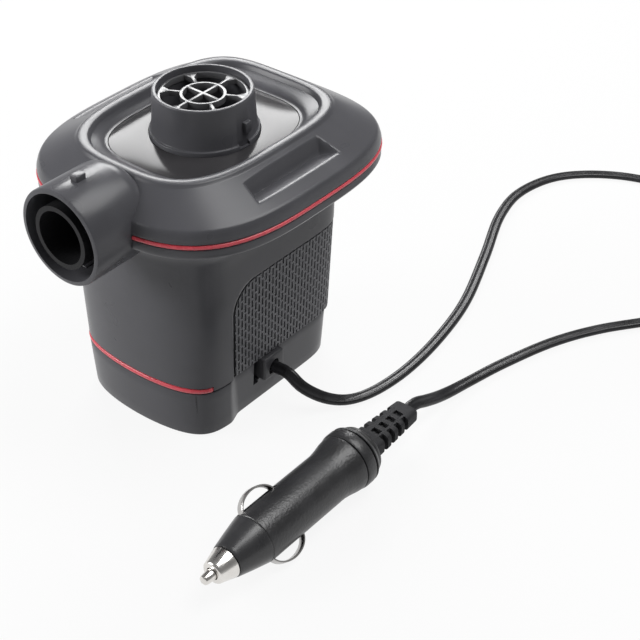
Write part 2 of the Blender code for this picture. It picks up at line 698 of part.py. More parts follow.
def make_main_body(nozzle_cut, recess_cut):
    """The body shell: straight lower walls, a flare up to the lid's outline, and the motor bulkhead."""
    lip_z = SEAM_Z - FLANGE_LIP
    span = lip_z - FLARE_Z
    shell = [body_ring(0.0, BODY_LOW_Z, LID_SIDES), body_ring(0.0, FLARE_Z, LID_SIDES)]
    shell += [flare_ring(0.08, FLARE_Z + 0.45 * span), flare_ring(0.32, FLARE_Z + 0.72 * span)]
    shell += [
        flare_ring(0.68, FLARE_Z + 0.9 * span),
        flare_ring(0.95, lip_z - 0.2 * MM),
        lid_ring(0.0, lip_z + 1.2 * MM),
    ]
    shell += [
        lid_ring(0.0, SEAM_Z - 0.3 * MM),
        lid_ring(0.3 * MM, SEAM_Z),
        lid_ring(LID_WALL + 1.0 * MM, SEAM_Z),
    ]
    shell += [lid_ring(LID_WALL + 1.4 * MM, SEAM_Z - 3.0 * MM), flare_ring(0.3, SEAM_Z - 6.0 * MM)]
    shell += [
        body_ring(BODY_WALL, BULKHEAD_Z + 2.0 * MM, LID_SIDES),
        body_ring(BODY_WALL, BULKHEAD_Z, LID_SIDES),
    ]
    hole = CAN_RADIUS + SEAT_GAP
    shell += [circle(hole, BULKHEAD_Z, LID_SIDES), circle(hole, BULKHEAD_Z - BULKHEAD_THICK, LID_SIDES)]
    shell += [
        body_ring(BODY_WALL, BULKHEAD_Z - BULKHEAD_THICK - 1.0 * MM, LID_SIDES),
        body_ring(BODY_WALL, BODY_LOW_Z, LID_SIDES),
    ]
    body = piece("main_body", loft(shell, loop=True), DARK_SHELL)
    combine(body, nozzle_cut, "DIFFERENCE")
    return combine(body, recess_cut, "DIFFERENCE")


def flare_ring(share, z):
    """A ring part of the way from the body's plan to the lid's outline."""
    low, high = body_ring(0.0, z, LID_SIDES), lid_ring(0.0, z)
    return [a.lerp(b, share) for a, b in zip(low, high)]


def band_depth(z):
    """How far the grip band lies below the body's plan at a height."""
    return GRIP_DEPTH - GRIP_LEAN * z / GRIP_TOP_Z


def flank_turn(y):
    """The plan angle at which the right flank passes y, half way up."""
    half = BODY_HALF_Y + BODY_DRAFT_Y / 2
    return math.copysign(math.asin((abs(y) / half) ** (BODY_POWER_Y / 2)), y)


def band_columns(corner, shrink):
    """Stations of the band as (inner turn, outer turn, drop of the upper edge), front to back."""
    columns = []
    steps = 5
    front = GRIP_FRONT_Y + shrink
    for k in range(steps + 1):
        lean = math.cos(math.pi / 2 * k / steps)
        y = front + corner * (1 - lean)
        drop = corner * (1 - math.sin(math.pi / 2 * k / steps))
        columns.append((flank_turn(y + GRIP_SLANT), flank_turn(y), drop))
    columns += [(flank_turn(y), flank_turn(y), 0.0) for y in GRIP_STATIONS]
    return columns + [(math.radians(turn), math.radians(turn), 0.0) for turn in GRIP_TURNS]


def band_rings(columns, low, top, deep, proud):
    """Four-cornered rings between two depths, one for each station."""
    rings = []
    for inner, outer, drop in columns:
        high = top - drop
        ring = [body_point(inner, deep(low), low), body_point(outer, proud(low), low)]
        rings.append(ring + [body_point(outer, proud(high), high), body_point(inner, deep(high), high)])
    return rings


def mirrored(rings):
    """The same rings on the left of the body's middle plane."""
    return [[Vector((2 * BODY_CENTRE_X - p.x, p.y, p.z)) for p in ring] for ring in rings]


def band_cutter(low, top, corner):
    rings = band_rings(band_columns(corner, 0.0), low, top, band_depth, lambda z: -CUT_MARGIN)
    return loft(rings + mirrored(rings)[::-1])


def make_grip_panels():
    """Two thin panels that line the band and meet behind, a little below the shell around them."""
    columns = band_columns(GRIP_CORNER - SEAT_GAP, SEAT_GAP)
    columns = [(inner, inner, drop) for inner, outer, drop in columns]
    end = math.acos(SEAT_GAP / 2 / BODY_HALF_X)
    columns.append((end, end, 0.0))
    low, top = BODY_LOW_Z + GRIP_LIFT, GRIP_TOP_Z - SEAT_GAP

    def back(z):
        return band_depth(z) - SEAT_GAP

    def face(z):
        return back(z) - GRIP_THICK

    right = band_rings(columns, low, top, back, face)
    piece("grip_panel_right", loft(right), GRIP_RUBBER)
    piece("grip_panel_left", loft(mirrored(right)), GRIP_RUBBER)


def make_lower_trim():
    """Red strip let into the front of the body just above the base seam."""
    ring = strip_points(STRIP_DEPTH - SEAT_GAP, -STRIP_PROUD, 0.0)
    low = BODY_LOW_Z + SEAT_GAP
    return piece("lower_trim_strip", prism(ring, (0, 0, low), (0, 0, low + STRIP_HEIGHT)), RED_TRIM)


def strip_points(deep, proud, spare):
    """Plan of the strip between two depths below the front surface."""
    outer, inner = [], []
    first = math.radians(180 + STRIP_END_TURN) - spare / BODY_HALF_X
    last = math.radians(360 - STRIP_END_TURN) + spare / BODY_HALF_X
    for turn in np.linspace(first, last, STRIP_STEPS + 1):
        for points, inset in ((outer, proud), (inner, deep)):
            place = body_point(turn, inset, BASE_HEIGHT)
            points.append((place.x, place.y, 0))
    return outer + inner[::-1]


def strip_groove():
    low = BODY_LOW_Z - CUT_MARGIN
    plan = strip_points(STRIP_DEPTH, -CUT_MARGIN, SEAT_GAP)
    return prism(plan, (0, 0, low), (0, 0, BODY_LOW_Z + STRIP_HEIGHT + 2 * SEAT_GAP))


def cup_ring(z):
    """Inside of the base cup: one wall thick in front, and behind the recessed band elsewhere."""
    ring = body_ring(BASE_WALL + GRIP_DEPTH, z)
    return [Vector((p.x, p.y - GRIP_DEPTH if p.y < 0 else p.y, z)) for p in ring]


def make_base_cover(band_cut):
    """Base cup with a cradle for the motor's lower end, and a notch and slot for the gland."""
    rings = [
        body_ring(BASE_TUCK + BASE_EDGE, 0.0),
        body_ring(BASE_TUCK, BASE_EDGE),
        body_ring(0.0, BASE_HEIGHT),
        cup_ring(BASE_HEIGHT),
        cup_ring(BASE_WALL),
    ]
    base = piece("base_cover", loft(rings), DARK_SHELL)
    step_z = END_CAP_LOW_Z - SEAT_GAP
    bore = CRADLE_NECK
    wall = CRADLE_BORE + CRADLE_WALL
    cradle = [(bore, BASE_WALL / 2), (wall, BASE_WALL / 2), (wall, step_z + CUSHION_HEIGHT)]
    cradle += [(CRADLE_BORE, step_z + CUSHION_HEIGHT), (CRADLE_BORE, step_z), (bore, step_z)]
    combine(base, helper("motor_cradle", turned(cradle, ROUND_SIDES, loop=True)), "UNION")
    low_y, high_y = GLAND_CENTRE_Y - GLAND_WIDTH / 2, GLAND_CENTRE_Y + GLAND_WIDTH / 2
    low_z = GLAND_TOP_Z - GLAND_HEIGHT
    notch = block(
        (bore / 2, low_y - SEAT_GAP, low_z - SEAT_GAP),
        (GLAND_OUT_X + CUT_MARGIN, high_y + SEAT_GAP, step_z - 1.0 * MM),
    )
    combine(base, helper("gland_notch", notch), "DIFFERENCE")
    slot_x = BODY_CENTRE_X + BODY_HALF_X - GRIP_DEPTH - GLAND_SLOT_DEPTH
    slot = block(
        (slot_x, low_y - GLAND_SLOT, low_z - GLAND_SLOT_DROP),
        (GLAND_OUT_X + CUT_MARGIN, low_y, BASE_HEIGHT + CUT_MARGIN),
    )
    combine(base, helper("gland_slot", slot), "DIFFERENCE")
    return combine(base, band_cut, "DIFFERENCE")


def make_gland():
    """Block that grips the twin cord; an inner lip stops it from pulling out of its notch."""
    low_y, high_y = GLAND_CENTRE_Y - GLAND_WIDTH / 2, GLAND_CENTRE_Y + GLAND_WIDTH / 2
    low_z = GLAND_TOP_Z - GLAND_HEIGHT
    return piece(
        "cord_gland",
        block((GLAND_IN_X, low_y, low_z), (GLAND_OUT_X, high_y, GLAND_TOP_Z), GLAND_ROUND),
        BLACK_RUBBER,
    )


def make_volute():
    """Fan casing: round chamber, throat, and the spout that runs out inside the nozzle."""
    sides = LID_SIDES
    casing = piece(
        "volute_casing",
        turned([(CASE_RADIUS, CASE_FLOOR_Z), (CASE_RADIUS, CASE_TOP_Z)], sides),
        INNER_PLASTIC,
    )
    throat_y = NOZZLE_BACK_Y + SEAT_GAP
    spout_end = throat_y + THROAT_WALL
    duct = block(
        (-THROAT_HALF_X, throat_y, THROAT_LOW_Z),
        (THROAT_HALF_X, -CASE_RADIUS / 2, CASE_TOP_Z - 0.1 * MM),
    )
    combine(casing, helper("throat_solid", duct), "UNION")
    spout = [(SPOUT_RADIUS, NOZZLE_END_Y + 0.2 * MM), (SPOUT_RADIUS, spout_end)]
    combine(casing, helper("spout_solid", along_y(turned(spout, LID_SIDES), 0.0, NOZZLE_Z)), "UNION")
    chamber = [
        (CASE_RADIUS - CASE_WALL, CASE_FLOOR_Z + CASE_WALL),
        (CASE_RADIUS - CASE_WALL, CASE_TOP_Z + CUT_MARGIN),
    ]
    combine(casing, helper("chamber", turned(chamber, sides)), "DIFFERENCE")
    half = THROAT_HALF_X - THROAT_WALL
    low = (-half, throat_y - THROAT_WALL, THROAT_LOW_Z + THROAT_WALL)
    passage = block(low, (half, -CASE_RADIUS / 2, CASE_TOP_Z - THROAT_WALL))
    combine(casing, helper("throat_passage", passage), "DIFFERENCE")
    bore = [(SPOUT_BORE, NOZZLE_END_Y - CUT_MARGIN), (SPOUT_BORE, throat_y - THROAT_WALL / 2)]
    combine(
        casing, helper("spout_bore", along_y(turned(bore, LID_SIDES), 0.0, NOZZLE_Z)), "DIFFERENCE"
    )
    hole = [
        (BOSS_RADIUS + SEAT_GAP, CASE_FLOOR_Z - CUT_MARGIN),
        (BOSS_RADIUS + SEAT_GAP, CASE_FLOOR_Z + CASE_WALL + CUT_MARGIN),
    ]
    return combine(casing, helper("boss_hole", turned(hole, SMALL_SIDES)), "DIFFERENCE")


def make_inlet_plate():
    high = INLET_LOW_Z + INLET_THICK
    profile = [
        (EYE_RADIUS, INLET_LOW_Z), (CASE_RADIUS, INLET_LOW_Z), (CASE_RADIUS, high), (EYE_RADIUS, high)
    ]
    return piece("inlet_plate", turned(profile, ROUND_SIDES, loop=True), INNER_PLASTIC)


def blade(k):
    """One swept blade, standing on the impeller's disc."""
    steps = 4
    front, back = [], []
    outer = IMPELLER_RADIUS - 0.5 * MM
    for i in range(steps + 1):
        share = i / steps
        radius = BLADE_INNER_RADIUS + (outer - BLADE_INNER_RADIUS) * share
        turn = 2 * math.pi * k / BLADE_COUNT - math.radians(BLADE_SWEEP) * share ** 1.2
        half = BLADE_THICK / 2 / radius
        front.append((radius * math.cos(turn + half), radius * math.sin(turn + half), 0))
        back.append((radius * math.cos(turn - half), radius * math.sin(turn - half), 0))
    return prism(
        front + back[::-1],
        (0, 0, DISC_LOW_Z + IMPELLER_DISC / 2),
        (0, 0, DISC_LOW_Z + IMPELLER_DISC + BLADE_HEIGHT),
    )


def make_impeller(axis):
    bore = SHAFT_RADIUS + PRESS_GAP
    top = DISC_LOW_Z + IMPELLER_DISC
    hub_top = top + BLADE_HEIGHT * 0.8
    profile = [
        (bore, DISC_LOW_Z),
        (IMPELLER_RADIUS, DISC_LOW_Z),
        (IMPELLER_RADIUS, top),
        (HUB_RADIUS + 1.5 * MM, top),
    ]
    profile += [(HUB_RADIUS, top + 2.0 * MM), (HUB_RADIUS - 0.8 * MM, hub_top), (bore, hub_top)]
    wheel = piece("impeller", turned(profile, ROUND_SIDES, loop=True), INNER_PLASTIC, axis)
    return combine(wheel, helper("blades", merged([blade(k) for k in range(BLADE_COUNT)])), "UNION")


def make_motor(axis):
    """Brushed motor: can with two magnets, wound armature, commutator, brushes and end cap."""
    shaft_top = DISC_LOW_Z + IMPELLER_DISC + BLADE_HEIGHT * 0.9
    piece(
        "motor_shaft",
        turned([(SHAFT_RADIUS, SHAFT_LOW_Z), (SHAFT_RADIUS, shaft_top)], SMALL_SIDES),
        STEEL,
        axis,
    )
    boss_top = CAN_TOP_Z + BOSS_HEIGHT
    bush = BUSH_RADIUS + SEAT_GAP
    can = [
        (CAN_BORE, CAN_LOW_Z),
        (CAN_RADIUS, CAN_LOW_Z),
        (CAN_RADIUS, CAN_TOP_Z - 1.0 * MM),
        (CAN_RADIUS - 1.0 * MM, CAN_TOP_Z),
    ]
    can += [
        (BOSS_RADIUS, CAN_TOP_Z),
        (BOSS_RADIUS, boss_top),
        (bush, boss_top),
        (bush, CAN_TOP_Z - CAN_WALL),
        (CAN_BORE, CAN_TOP_Z - CAN_WALL),
    ]
    piece("motor_can", turned(can, MOTOR_SIDES, loop=True), ZINC)
    make_bush("front_bearing", boss_top - BUSH_HEIGHT)
    make_bush("rear_bearing", END_CAP_LOW_Z)
    cap_bush = [
        (bush, END_CAP_LOW_Z),
        (CAN_RADIUS, END_CAP_LOW_Z),
        (CAN_RADIUS, CAN_LOW_Z - SEAT_GAP),
        (CAN_BORE - SEAT_GAP, CAN_LOW_Z - SEAT_GAP),
    ]
    cap_bush += [(CAN_BORE - SEAT_GAP, CAN_LOW_Z + 1.0 * MM), (bush, CAN_LOW_Z + 1.0 * MM)]
    cap = piece("motor_end_cap", turned(cap_bush, MOTOR_SIDES, loop=True), INNER_PLASTIC)
    slots = merged([terminal_block(side, SEAT_GAP) for side in (1, -1)])
    combine(cap, helper("terminal_slots", slots), "DIFFERENCE")
    for name, side in (("magnet_a", 1), ("magnet_b", -1)):
        piece(name, magnet(side), FERRITE)
    for name, side in (("brush_a", 1), ("brush_b", -1)):
        ends = sorted((side * (COMMUTATOR_RADIUS + RUN_GAP), side * TERMINAL_OFFSET))
        low = (ends[0], -BRUSH_WIDTH / 2, BRUSH_Z - BRUSH_HEIGHT / 2)
        high = (ends[1], BRUSH_WIDTH / 2, BRUSH_Z + BRUSH_HEIGHT / 2)
        piece(name, block(low, high), CARBON)
    for name, side in (("terminal_a", 1), ("terminal_b", -1)):
        piece(name, terminal_block(side, 0.0), BRASS)
    make_armature(axis)


def make_bush(name, low):
    bore = SHAFT_RADIUS + RUN_GAP
    profile = [
        (bore, low), (BUSH_RADIUS, low), (BUSH_RADIUS, low + BUSH_HEIGHT), (bore, low + BUSH_HEIGHT)
    ]
    piece(name, turned(profile, SMALL_SIDES, loop=True), BRONZE)


def terminal_block(side, grow):
    """A blade terminal that passes through the end cap and carries a brush on its inner end."""
    near = side * (TERMINAL_OFFSET + SEAT_GAP)
    ends = sorted((near - side * grow, near + side * (TERMINAL_THICK + grow)))
    low = (ends[0], -TERMINAL_WIDTH / 2 - grow, END_CAP_LOW_Z - TERMINAL_DROP)
    high = (ends[1], TERMINAL_WIDTH / 2 + grow, BRUSH_Z + BRUSH_HEIGHT / 2)
    return block(low, high)


def magnet(side):
    steps = 10
    inner, outer = [], []
    for k in range(steps + 1):
        turn = math.radians(90 * side + MAGNET_ARC * (k / steps - 0.5))
        outer.append((MAGNET_RADIUS * math.cos(turn), MAGNET_RADIUS * math.sin(turn), 0))
        near = MAGNET_RADIUS - MAGNET_THICK
        inner.append((near * math.cos(turn), near * math.sin(turn), 0))
    return prism(outer + inner[::-1], (0, 0, MAGNET_LOW_Z), (0, 0, MAGNET_HIGH_Z))


def pole_star(grow):
    """Cross-section of the armature: a core with T-shaped poles, grown by a clearance."""
    points = []
    shoe = ARMATURE_RADIUS - POLE_SHOE - grow
    half = POLE_NECK / 2 + grow
    core = STACK_CORE + grow
    edge = ARMATURE_RADIUS + (CUT_MARGIN if grow else 0.0)
    spread = math.pi / POLE_COUNT * 0.8
    for k in range(POLE_COUNT):
        turn = 2 * math.pi * k / POLE_COUNT
        neck = [(math.sqrt(core ** 2 - half ** 2), -half), (math.sqrt(shoe ** 2 - half ** 2), -half)]
        arc = [(shoe * math.cos(spread), -shoe * math.sin(spread))]
        arc += [
            (edge * math.cos(spread * a), edge * math.sin(spread * a)) for a in (-1, -0.5, 0, 0.5, 1)
        ]
        arc += [(shoe * math.cos(spread), shoe * math.sin(spread))]
        side = neck + arc + [(x, -y) for x, y in reversed(neck)]
        c, s = math.cos(turn), math.sin(turn)
        points += [(x * c - y * s, x * s + y * c, 0) for x, y in side]
    return points


def make_armature(axis):
    bore = SHAFT_RADIUS + PRESS_GAP
    hole = helper("stack_bore", turned([(bore, COMMUTATOR_LOW_Z), (bore, CAN_TOP_Z)], SMALL_SIDES))
    stack = piece(
        "armature_stack",
        prism(pole_star(0.0), (0, 0, STACK_LOW_Z), (0, 0, STACK_HIGH_Z)),
        LAMINATE,
        axis,
    )
    combine(stack, hole, "DIFFERENCE")
    low, high = STACK_LOW_Z - WINDING_OVERHANG, STACK_HIGH_Z + WINDING_OVERHANG
    reach = ARMATURE_RADIUS - POLE_SHOE - 2 * SEAT_GAP
    core = STACK_CORE + SEAT_GAP
    spool = [
        (core, low),
        (reach - 1.0 * MM, low),
        (reach, low + 1.0 * MM),
        (reach, high - 1.0 * MM),
        (reach - 1.0 * MM, high),
        (core, high),
    ]
    wound = piece("armature_windings", turned(spool, MOTOR_SIDES, loop=True), COPPER, axis)
    star = prism(pole_star(SEAT_GAP), (0, 0, STACK_LOW_Z - SEAT_GAP), (0, 0, STACK_HIGH_Z + SEAT_GAP))
    combine(wound, helper("stack_room", star), "DIFFERENCE")
    profile = [
        (bore, COMMUTATOR_LOW_Z),
        (COMMUTATOR_RADIUS, COMMUTATOR_LOW_Z),
        (COMMUTATOR_RADIUS, COMMUTATOR_HIGH_Z),
        (bore, COMMUTATOR_HIGH_Z),
    ]
    piece("commutator", turned(profile, SMALL_SIDES, loop=True), COPPER, axis)


def make_cushion():
    low = END_CAP_LOW_Z + SEAT_GAP
    inner, outer = CAN_RADIUS + SEAT_GAP, CAN_RADIUS + SEAT_GAP + CUSHION_THICK
    high = low + CUSHION_HEIGHT - 1.0 * MM
    piece(
        "motor_cushion",
        turned([(inner, low), (outer, low), (outer, high), (inner, high)], MOTOR_SIDES, loop=True),
        BLACK_RUBBER,
    )


def make_leads():
    """Two insulated leads from the gland to the motor's terminals."""
    into = Vector((-1, 0, 0))
    rise = Vector((0, 0, 1))
    for name, side in (("lead_a", 1), ("lead_b", -1)):
        x = side * (TERMINAL_OFFSET + SEAT_GAP + TERMINAL_THICK / 2)
        face = Vector((GLAND_IN_X, GLAND_CENTRE_Y + side * LEAD_SPREAD, CORD_EXIT.z))
        blade_end = Vector((x, 0, END_CAP_LOW_Z - TERMINAL_DROP))
        route = [face + into * LEAD_DIAMETER, Vector((CRADLE_NECK, face.y, face.z))]
        if side < 0:
            route.append(Vector((0, face.y - LEAD_DIAMETER, LEAD_LOW_Z)))
        route.append(blade_end - rise * LEAD_DIAMETER)
        route = smooth_route(route, 2.5 * LEAD_DIAMETER, into, rise)
        route = [face + into * SEAT_GAP] + route + [blade_end - rise * SEAT_GAP]
        tube(name, route, LEAD_DIAMETER, CORD_BLACK, 1)


def coil_points():
    """A two-layer flat coil: in along the floor, a climb where the spiral turns back, and out on top."""
    per_turn = COIL_STEPS_PER_TURN
    steps = round(COIL_TURNS_PER_LAYER * per_turn)
    start = math.radians(COIL_START_ANGLE)
    points = []
    for k in range(2 * steps + 1):
        radius = COIL_OUTER_RADIUS - COIL_PITCH * (steps - abs(k - steps)) / per_turn
        turn = start - 2 * math.pi * k / per_turn
        rise = min(max((k - steps) / (per_turn / 2) + 0.5, 0.0), 1.0)
        z = COIL_FIRST_Z + COIL_LAYER * rise * rise * (3 - 2 * rise)
        x, y = COIL_CENTRE_X + radius * math.cos(turn), COIL_CENTRE_Y + radius * math.sin(turn)
        points.append(Vector((x, y, z)))
    return points


def run_straight(points, length):
    """Adds a straight start and end."""
    first = points[0] + (points[0] - points[1]).normalized() * length
    last = points[-1] + (points[-1] - points[-2]).normalized() * length
    return [first] + points + [last]


def twin_lead(name, points):
    """A flat two-core lead along points, its flat side level: two round cores and the web between."""
    core = CORD_THICK / 2
    reach = CORD_WIDTH / 2 - core
    section = []
    for side in (1, -1):
        for turn in (-60, 0, 60):
            angle = math.radians(turn)
            section.append((side * (reach + core * math.cos(angle)), side * core * math.sin(angle)))
        section.append((0.0, side * CORD_WAIST / 2))
    rings = []
    for k, point in enumerate(points):
        along = (points[min(k + 1, len(points) - 1)] - points[max(k - 1, 0)]).normalized()
        across = along.cross(Vector((0, 0, 1))).normalized()
        up = across.cross(along)
        rings.append([point + across * a + up * b for a, b in section])
    return piece(name, loft(rings), CORD_BLACK)


def make_cord():
    coil = run_straight(coil_points(), CORD_WIDTH)
    twin_lead("cord_coil", coil)
    out = Vector((1, 0, 0))
    lead_in = (coil[0] - coil[1]).normalized()
    pump = [CORD_EXIT + out * CORD_WIDTH] + [Vector(point) * MM for point in PUMP_STRETCH]
    pump.append(coil[0] + lead_in * CORD_WIDTH)
    pump = smooth_route(pump, 2 * CORD_WIDTH, out, -lead_in)
    twin_lead("cord_pump_stretch", [CORD_EXIT + out * SEAT_GAP] + pump + [coil[0] + lead_in * SEAT_GAP])
    back = Vector((0, 1, 0))
    lead_out = (coil[-1] - coil[-2]).normalized()
    boot_end = Vector((PLUG_X, PLUG_REAR_Y + PLUG_DISC_THICK + 2 * SEAT_GAP + BOOT_LENGTH, PLUG_AXIS_Z))
    plug = [boot_end + back * CORD_WIDTH] + [Vector(point) * MM for point in PLUG_STRETCH]
    plug.append(coil[-1] + lead_out * CORD_WIDTH)
    plug = smooth_route(plug, 2 * CORD_WIDTH, back, -lead_out)
    twin_lead("cord_plug_stretch", [boot_end + back * SEAT_GAP] + plug + [coil[-1] + lead_out * SEAT_GAP])


def make_coil_tie():
    """A flat strap round the coil's bundle of turns, on the side away from its ends."""
    half, thick = CORD_WIDTH / 2 + TIE_SLACK, CORD_THICK / 2 + SEAT_GAP
    inner = COIL_OUTER_RADIUS - COIL_PITCH * COIL_TURNS_PER_LAYER
    near, far = inner - half, COIL_OUTER_RADIUS + half
    low, high = COIL_FIRST_Z - thick, COIL_FIRST_Z + COIL_LAYER + thick
    wall = TIE_WALL
    strap = piece(
        "coil_tie",
        block((near - wall, -TIE_WIDTH / 2, low - wall), (far + wall, TIE_WIDTH / 2, high + wall)),
        CORD_BLACK,
    )
    window = block((near, -TIE_WIDTH, low), (far, TIE_WIDTH, high))
    turn = Matrix.Translation(
        (COIL_CENTRE_X, COIL_CENTRE_Y, 0)
    ) @ Matrix.Rotation(math.radians(TIE_ANGLE), 4, "Z")
    cutter = helper("tie_window", window)
    strap.data.transform(turn)
    cutter.data.transform(turn)
    return combine(strap, cutter, "DIFFERENCE")


def plug_turned(profile, sides=ROUND_SIDES, loop=False):
    return along_y(turned(profile, sides, loop), PLUG_X, PLUG_AXIS_Z)


def make_plug():
    """Accessory plug: barrel, rear collar and disc, metal nose, sprung centre and side contacts."""
    bore = FUSE_RADIUS + RUN_GAP
    spring_end = spring_back_y()
    barrel = [
        (PLUG_NOSE_RADIUS, PLUG_FRONT_Y),
        (PLUG_NOSE_RADIUS + 0.6 * MM, PLUG_FRONT_Y + 0.4 * MM),
        (PLUG_RADIUS - 0.2 * MM, PLUG_TAPER_Y),
    ]
    barrel += [
        (PLUG_RADIUS, PLUG_TAPER_Y + 2.0 * MM),
        (PLUG_RADIUS, PLUG_FLARE_Y),
        (PLUG_COLLAR_RADIUS - 0.5 * MM, PLUG_SEAM_Y),
    ]
    body = piece("plug_body", plug_turned(barrel), PLUG_BLACK)
    hollow = [(bore, PLUG_FRONT_Y - CUT_MARGIN), (bore, spring_end + SEAT_GAP)]
    combine(body, helper("plug_bore", plug_turned(hollow, SMALL_SIDES)), "DIFFERENCE")
    combine(
        body, helper("contact_slots", merged([contact_slot(side) for side in (1, -1)])), "DIFFERENCE"
    )
    start = PLUG_SEAM_Y + SEAT_GAP
    edge = PLUG_COLLAR_RADIUS
    collar = [
        (edge - 0.3 * MM, start),
        (edge, start + 1.5 * MM),
        (edge, PLUG_REAR_Y - 4.0 * MM),
        (edge - 1.2 * MM, PLUG_REAR_Y),
    ]
    piece("plug_collar", plug_turned(collar), PLUG_BLACK)
    disc_y = PLUG_REAR_Y + SEAT_GAP
    disc = [
        (PLUG_DISC_RADIUS, disc_y),
        (PLUG_DISC_RADIUS, disc_y + PLUG_DISC_THICK - 0.7 * MM),
        (PLUG_DISC_RADIUS - 0.9 * MM, disc_y + PLUG_DISC_THICK),
    ]
    piece("plug_end_disc", plug_turned(disc), PLUG_BLACK)
    make_nose()
    make_boot(disc_y + PLUG_DISC_THICK + SEAT_GAP)
    for name, side in (("side_contact_a", 1), ("side_contact_b", -1)):
        slide = joint_empty(
            name + "_slide", (PLUG_X, CONTACT_FRONT_Y + CONTACT_LENGTH / 2, PLUG_AXIS_Z)
        )
        made = piece(name, side_contact(side), NICKEL, slide)
        made.matrix_parent_inverse = Matrix.Translation(slide.location).inverted()


def spring_back_y():
    tip_back = PLUG_FRONT_Y + 3.0 * MM
    return tip_back + SEAT_GAP + FUSE_LENGTH + SEAT_GAP + SPRING_LENGTH


def make_nose():
    """Metal nose ring with the centre contact, fuse and spring behind it."""
    front = PLUG_FRONT_Y - SEAT_GAP - NOSE_LENGTH
    hole = TIP_RADIUS + RUN_GAP
    ring = [
        (hole, front),
        (NOSE_STEP_RADIUS - 0.6 * MM, front),
        (NOSE_STEP_RADIUS, front + 0.8 * MM),
        (NOSE_STEP_RADIUS + 0.5 * MM, front + 3.4 * MM),
    ]
    ring += [
        (PLUG_NOSE_RADIUS - 0.5 * MM, front + 3.8 * MM),
        (PLUG_NOSE_RADIUS, PLUG_FRONT_Y - SEAT_GAP),
        (hole, PLUG_FRONT_Y - SEAT_GAP),
    ]
    piece("nose_ring", plug_turned(ring, ROUND_SIDES, loop=True), NICKEL)
    slide = joint_empty("centre_contact_slide", (PLUG_X, front, PLUG_AXIS_Z))
    tip = front - TIP_OUT
    head = PLUG_FRONT_Y + SEAT_GAP
    back = PLUG_FRONT_Y + 3.0 * MM
    pin = [
        (TIP_RADIUS - 1.0 * MM, tip),
        (TIP_RADIUS, tip + 1.2 * MM),
        (TIP_RADIUS, head),
        (TIP_HEAD_RADIUS, head),
        (TIP_HEAD_RADIUS, back),
    ]
    made = piece("centre_contact", plug_turned(pin, SMALL_SIDES), NICKEL, slide)
    made.matrix_parent_inverse = Matrix.Translation(slide.location).inverted()
    start = back + SEAT_GAP
    fuse = [(FUSE_RADIUS, start), (FUSE_RADIUS, start + FUSE_LENGTH)]
    made = piece("fuse", plug_turned(fuse, SMALL_SIDES), NICKEL, slide)
    made.matrix_parent_inverse = Matrix.Translation(slide.location).inverted()
    low = start + FUSE_LENGTH + SEAT_GAP
    make_spring(low)


def make_spring(start):
    """Helical spring that pushes the fuse and centre contact forward."""
    radius = FUSE_RADIUS - SPRING_WIRE / 2
    steps = SPRING_TURNS * SPRING_STEPS
    points = []
    for k in range(steps + 1):
        turn = 2 * math.pi * k / SPRING_STEPS
        y = start + SPRING_WIRE + (SPRING_LENGTH - 2 * SPRING_WIRE) * k / steps
        points.append(
            Vector((PLUG_X + radius * math.cos(turn), y, PLUG_AXIS_Z + radius * math.sin(turn)))
        )
    tube("contact_spring", points, SPRING_WIRE, STEEL, 0)


def rolled(mesh, side):
    """Stands a shape drawn along +X out of the plug's axis, at the roll of its side contacts."""
    angle = math.radians(PLUG_ROLL + (0 if side > 0 else 180))
    place = Matrix.Translation((PLUG_X, 0, PLUG_AXIS_Z)) @ Matrix.Rotation(-angle, 4, "Y")
    bmesh.ops.transform(mesh, matrix=place, verts=mesh.verts[:])
    return mesh


def contact_slot(side):
    room = SEAT_GAP
    deep = PLUG_RADIUS - CONTACT_FOOT - CONTACT_TRAVEL - CONTACT_THICK - 2 * room
    half = CONTACT_WIDTH / 2 + room
    spare = CONTACT_THICK + room
    low = (deep, CONTACT_FRONT_Y - spare, -half)
    high = (PLUG_RADIUS + CUT_MARGIN, CONTACT_FRONT_Y + CONTACT_LENGTH + spare, half)
    return rolled(block(low, high), side)


def side_contact(side):
    """A bowed strip whose two feet stand in the barrel's slot."""
    steps = 12
    outer, inner = [], []
    base = PLUG_RADIUS - CONTACT_FOOT
    half = CONTACT_LENGTH / 2
    middle = CONTACT_FRONT_Y + half
    rise = CONTACT_RISE + CONTACT_FOOT
    for k in range(steps + 1):
        turn = math.pi * k / steps
        for points, grow in ((outer, 0.0), (inner, -CONTACT_THICK)):
            y = middle - (half + grow) * math.cos(turn)
            points.append((base + (rise + grow) * math.sin(turn), y, 0))
    wide = CONTACT_WIDTH / 2
    return rolled(prism(outer + inner[::-1], (0, 0, -wide), (0, 0, wide)), side)


def boot_ring(y, share):
    wide = BOOT_WIDE + (BOOT_NARROW - BOOT_WIDE) * share
    thick = BOOT_THICK + (BOOT_THIN - BOOT_THICK) * share
    ring = outline(wide / 2, thick / 2, 6.0, 6.0, 0.0, SMALL_SIDES)
    return [Vector((PLUG_X + p.x, y, PLUG_AXIS_Z + p.y)) for p in ring]


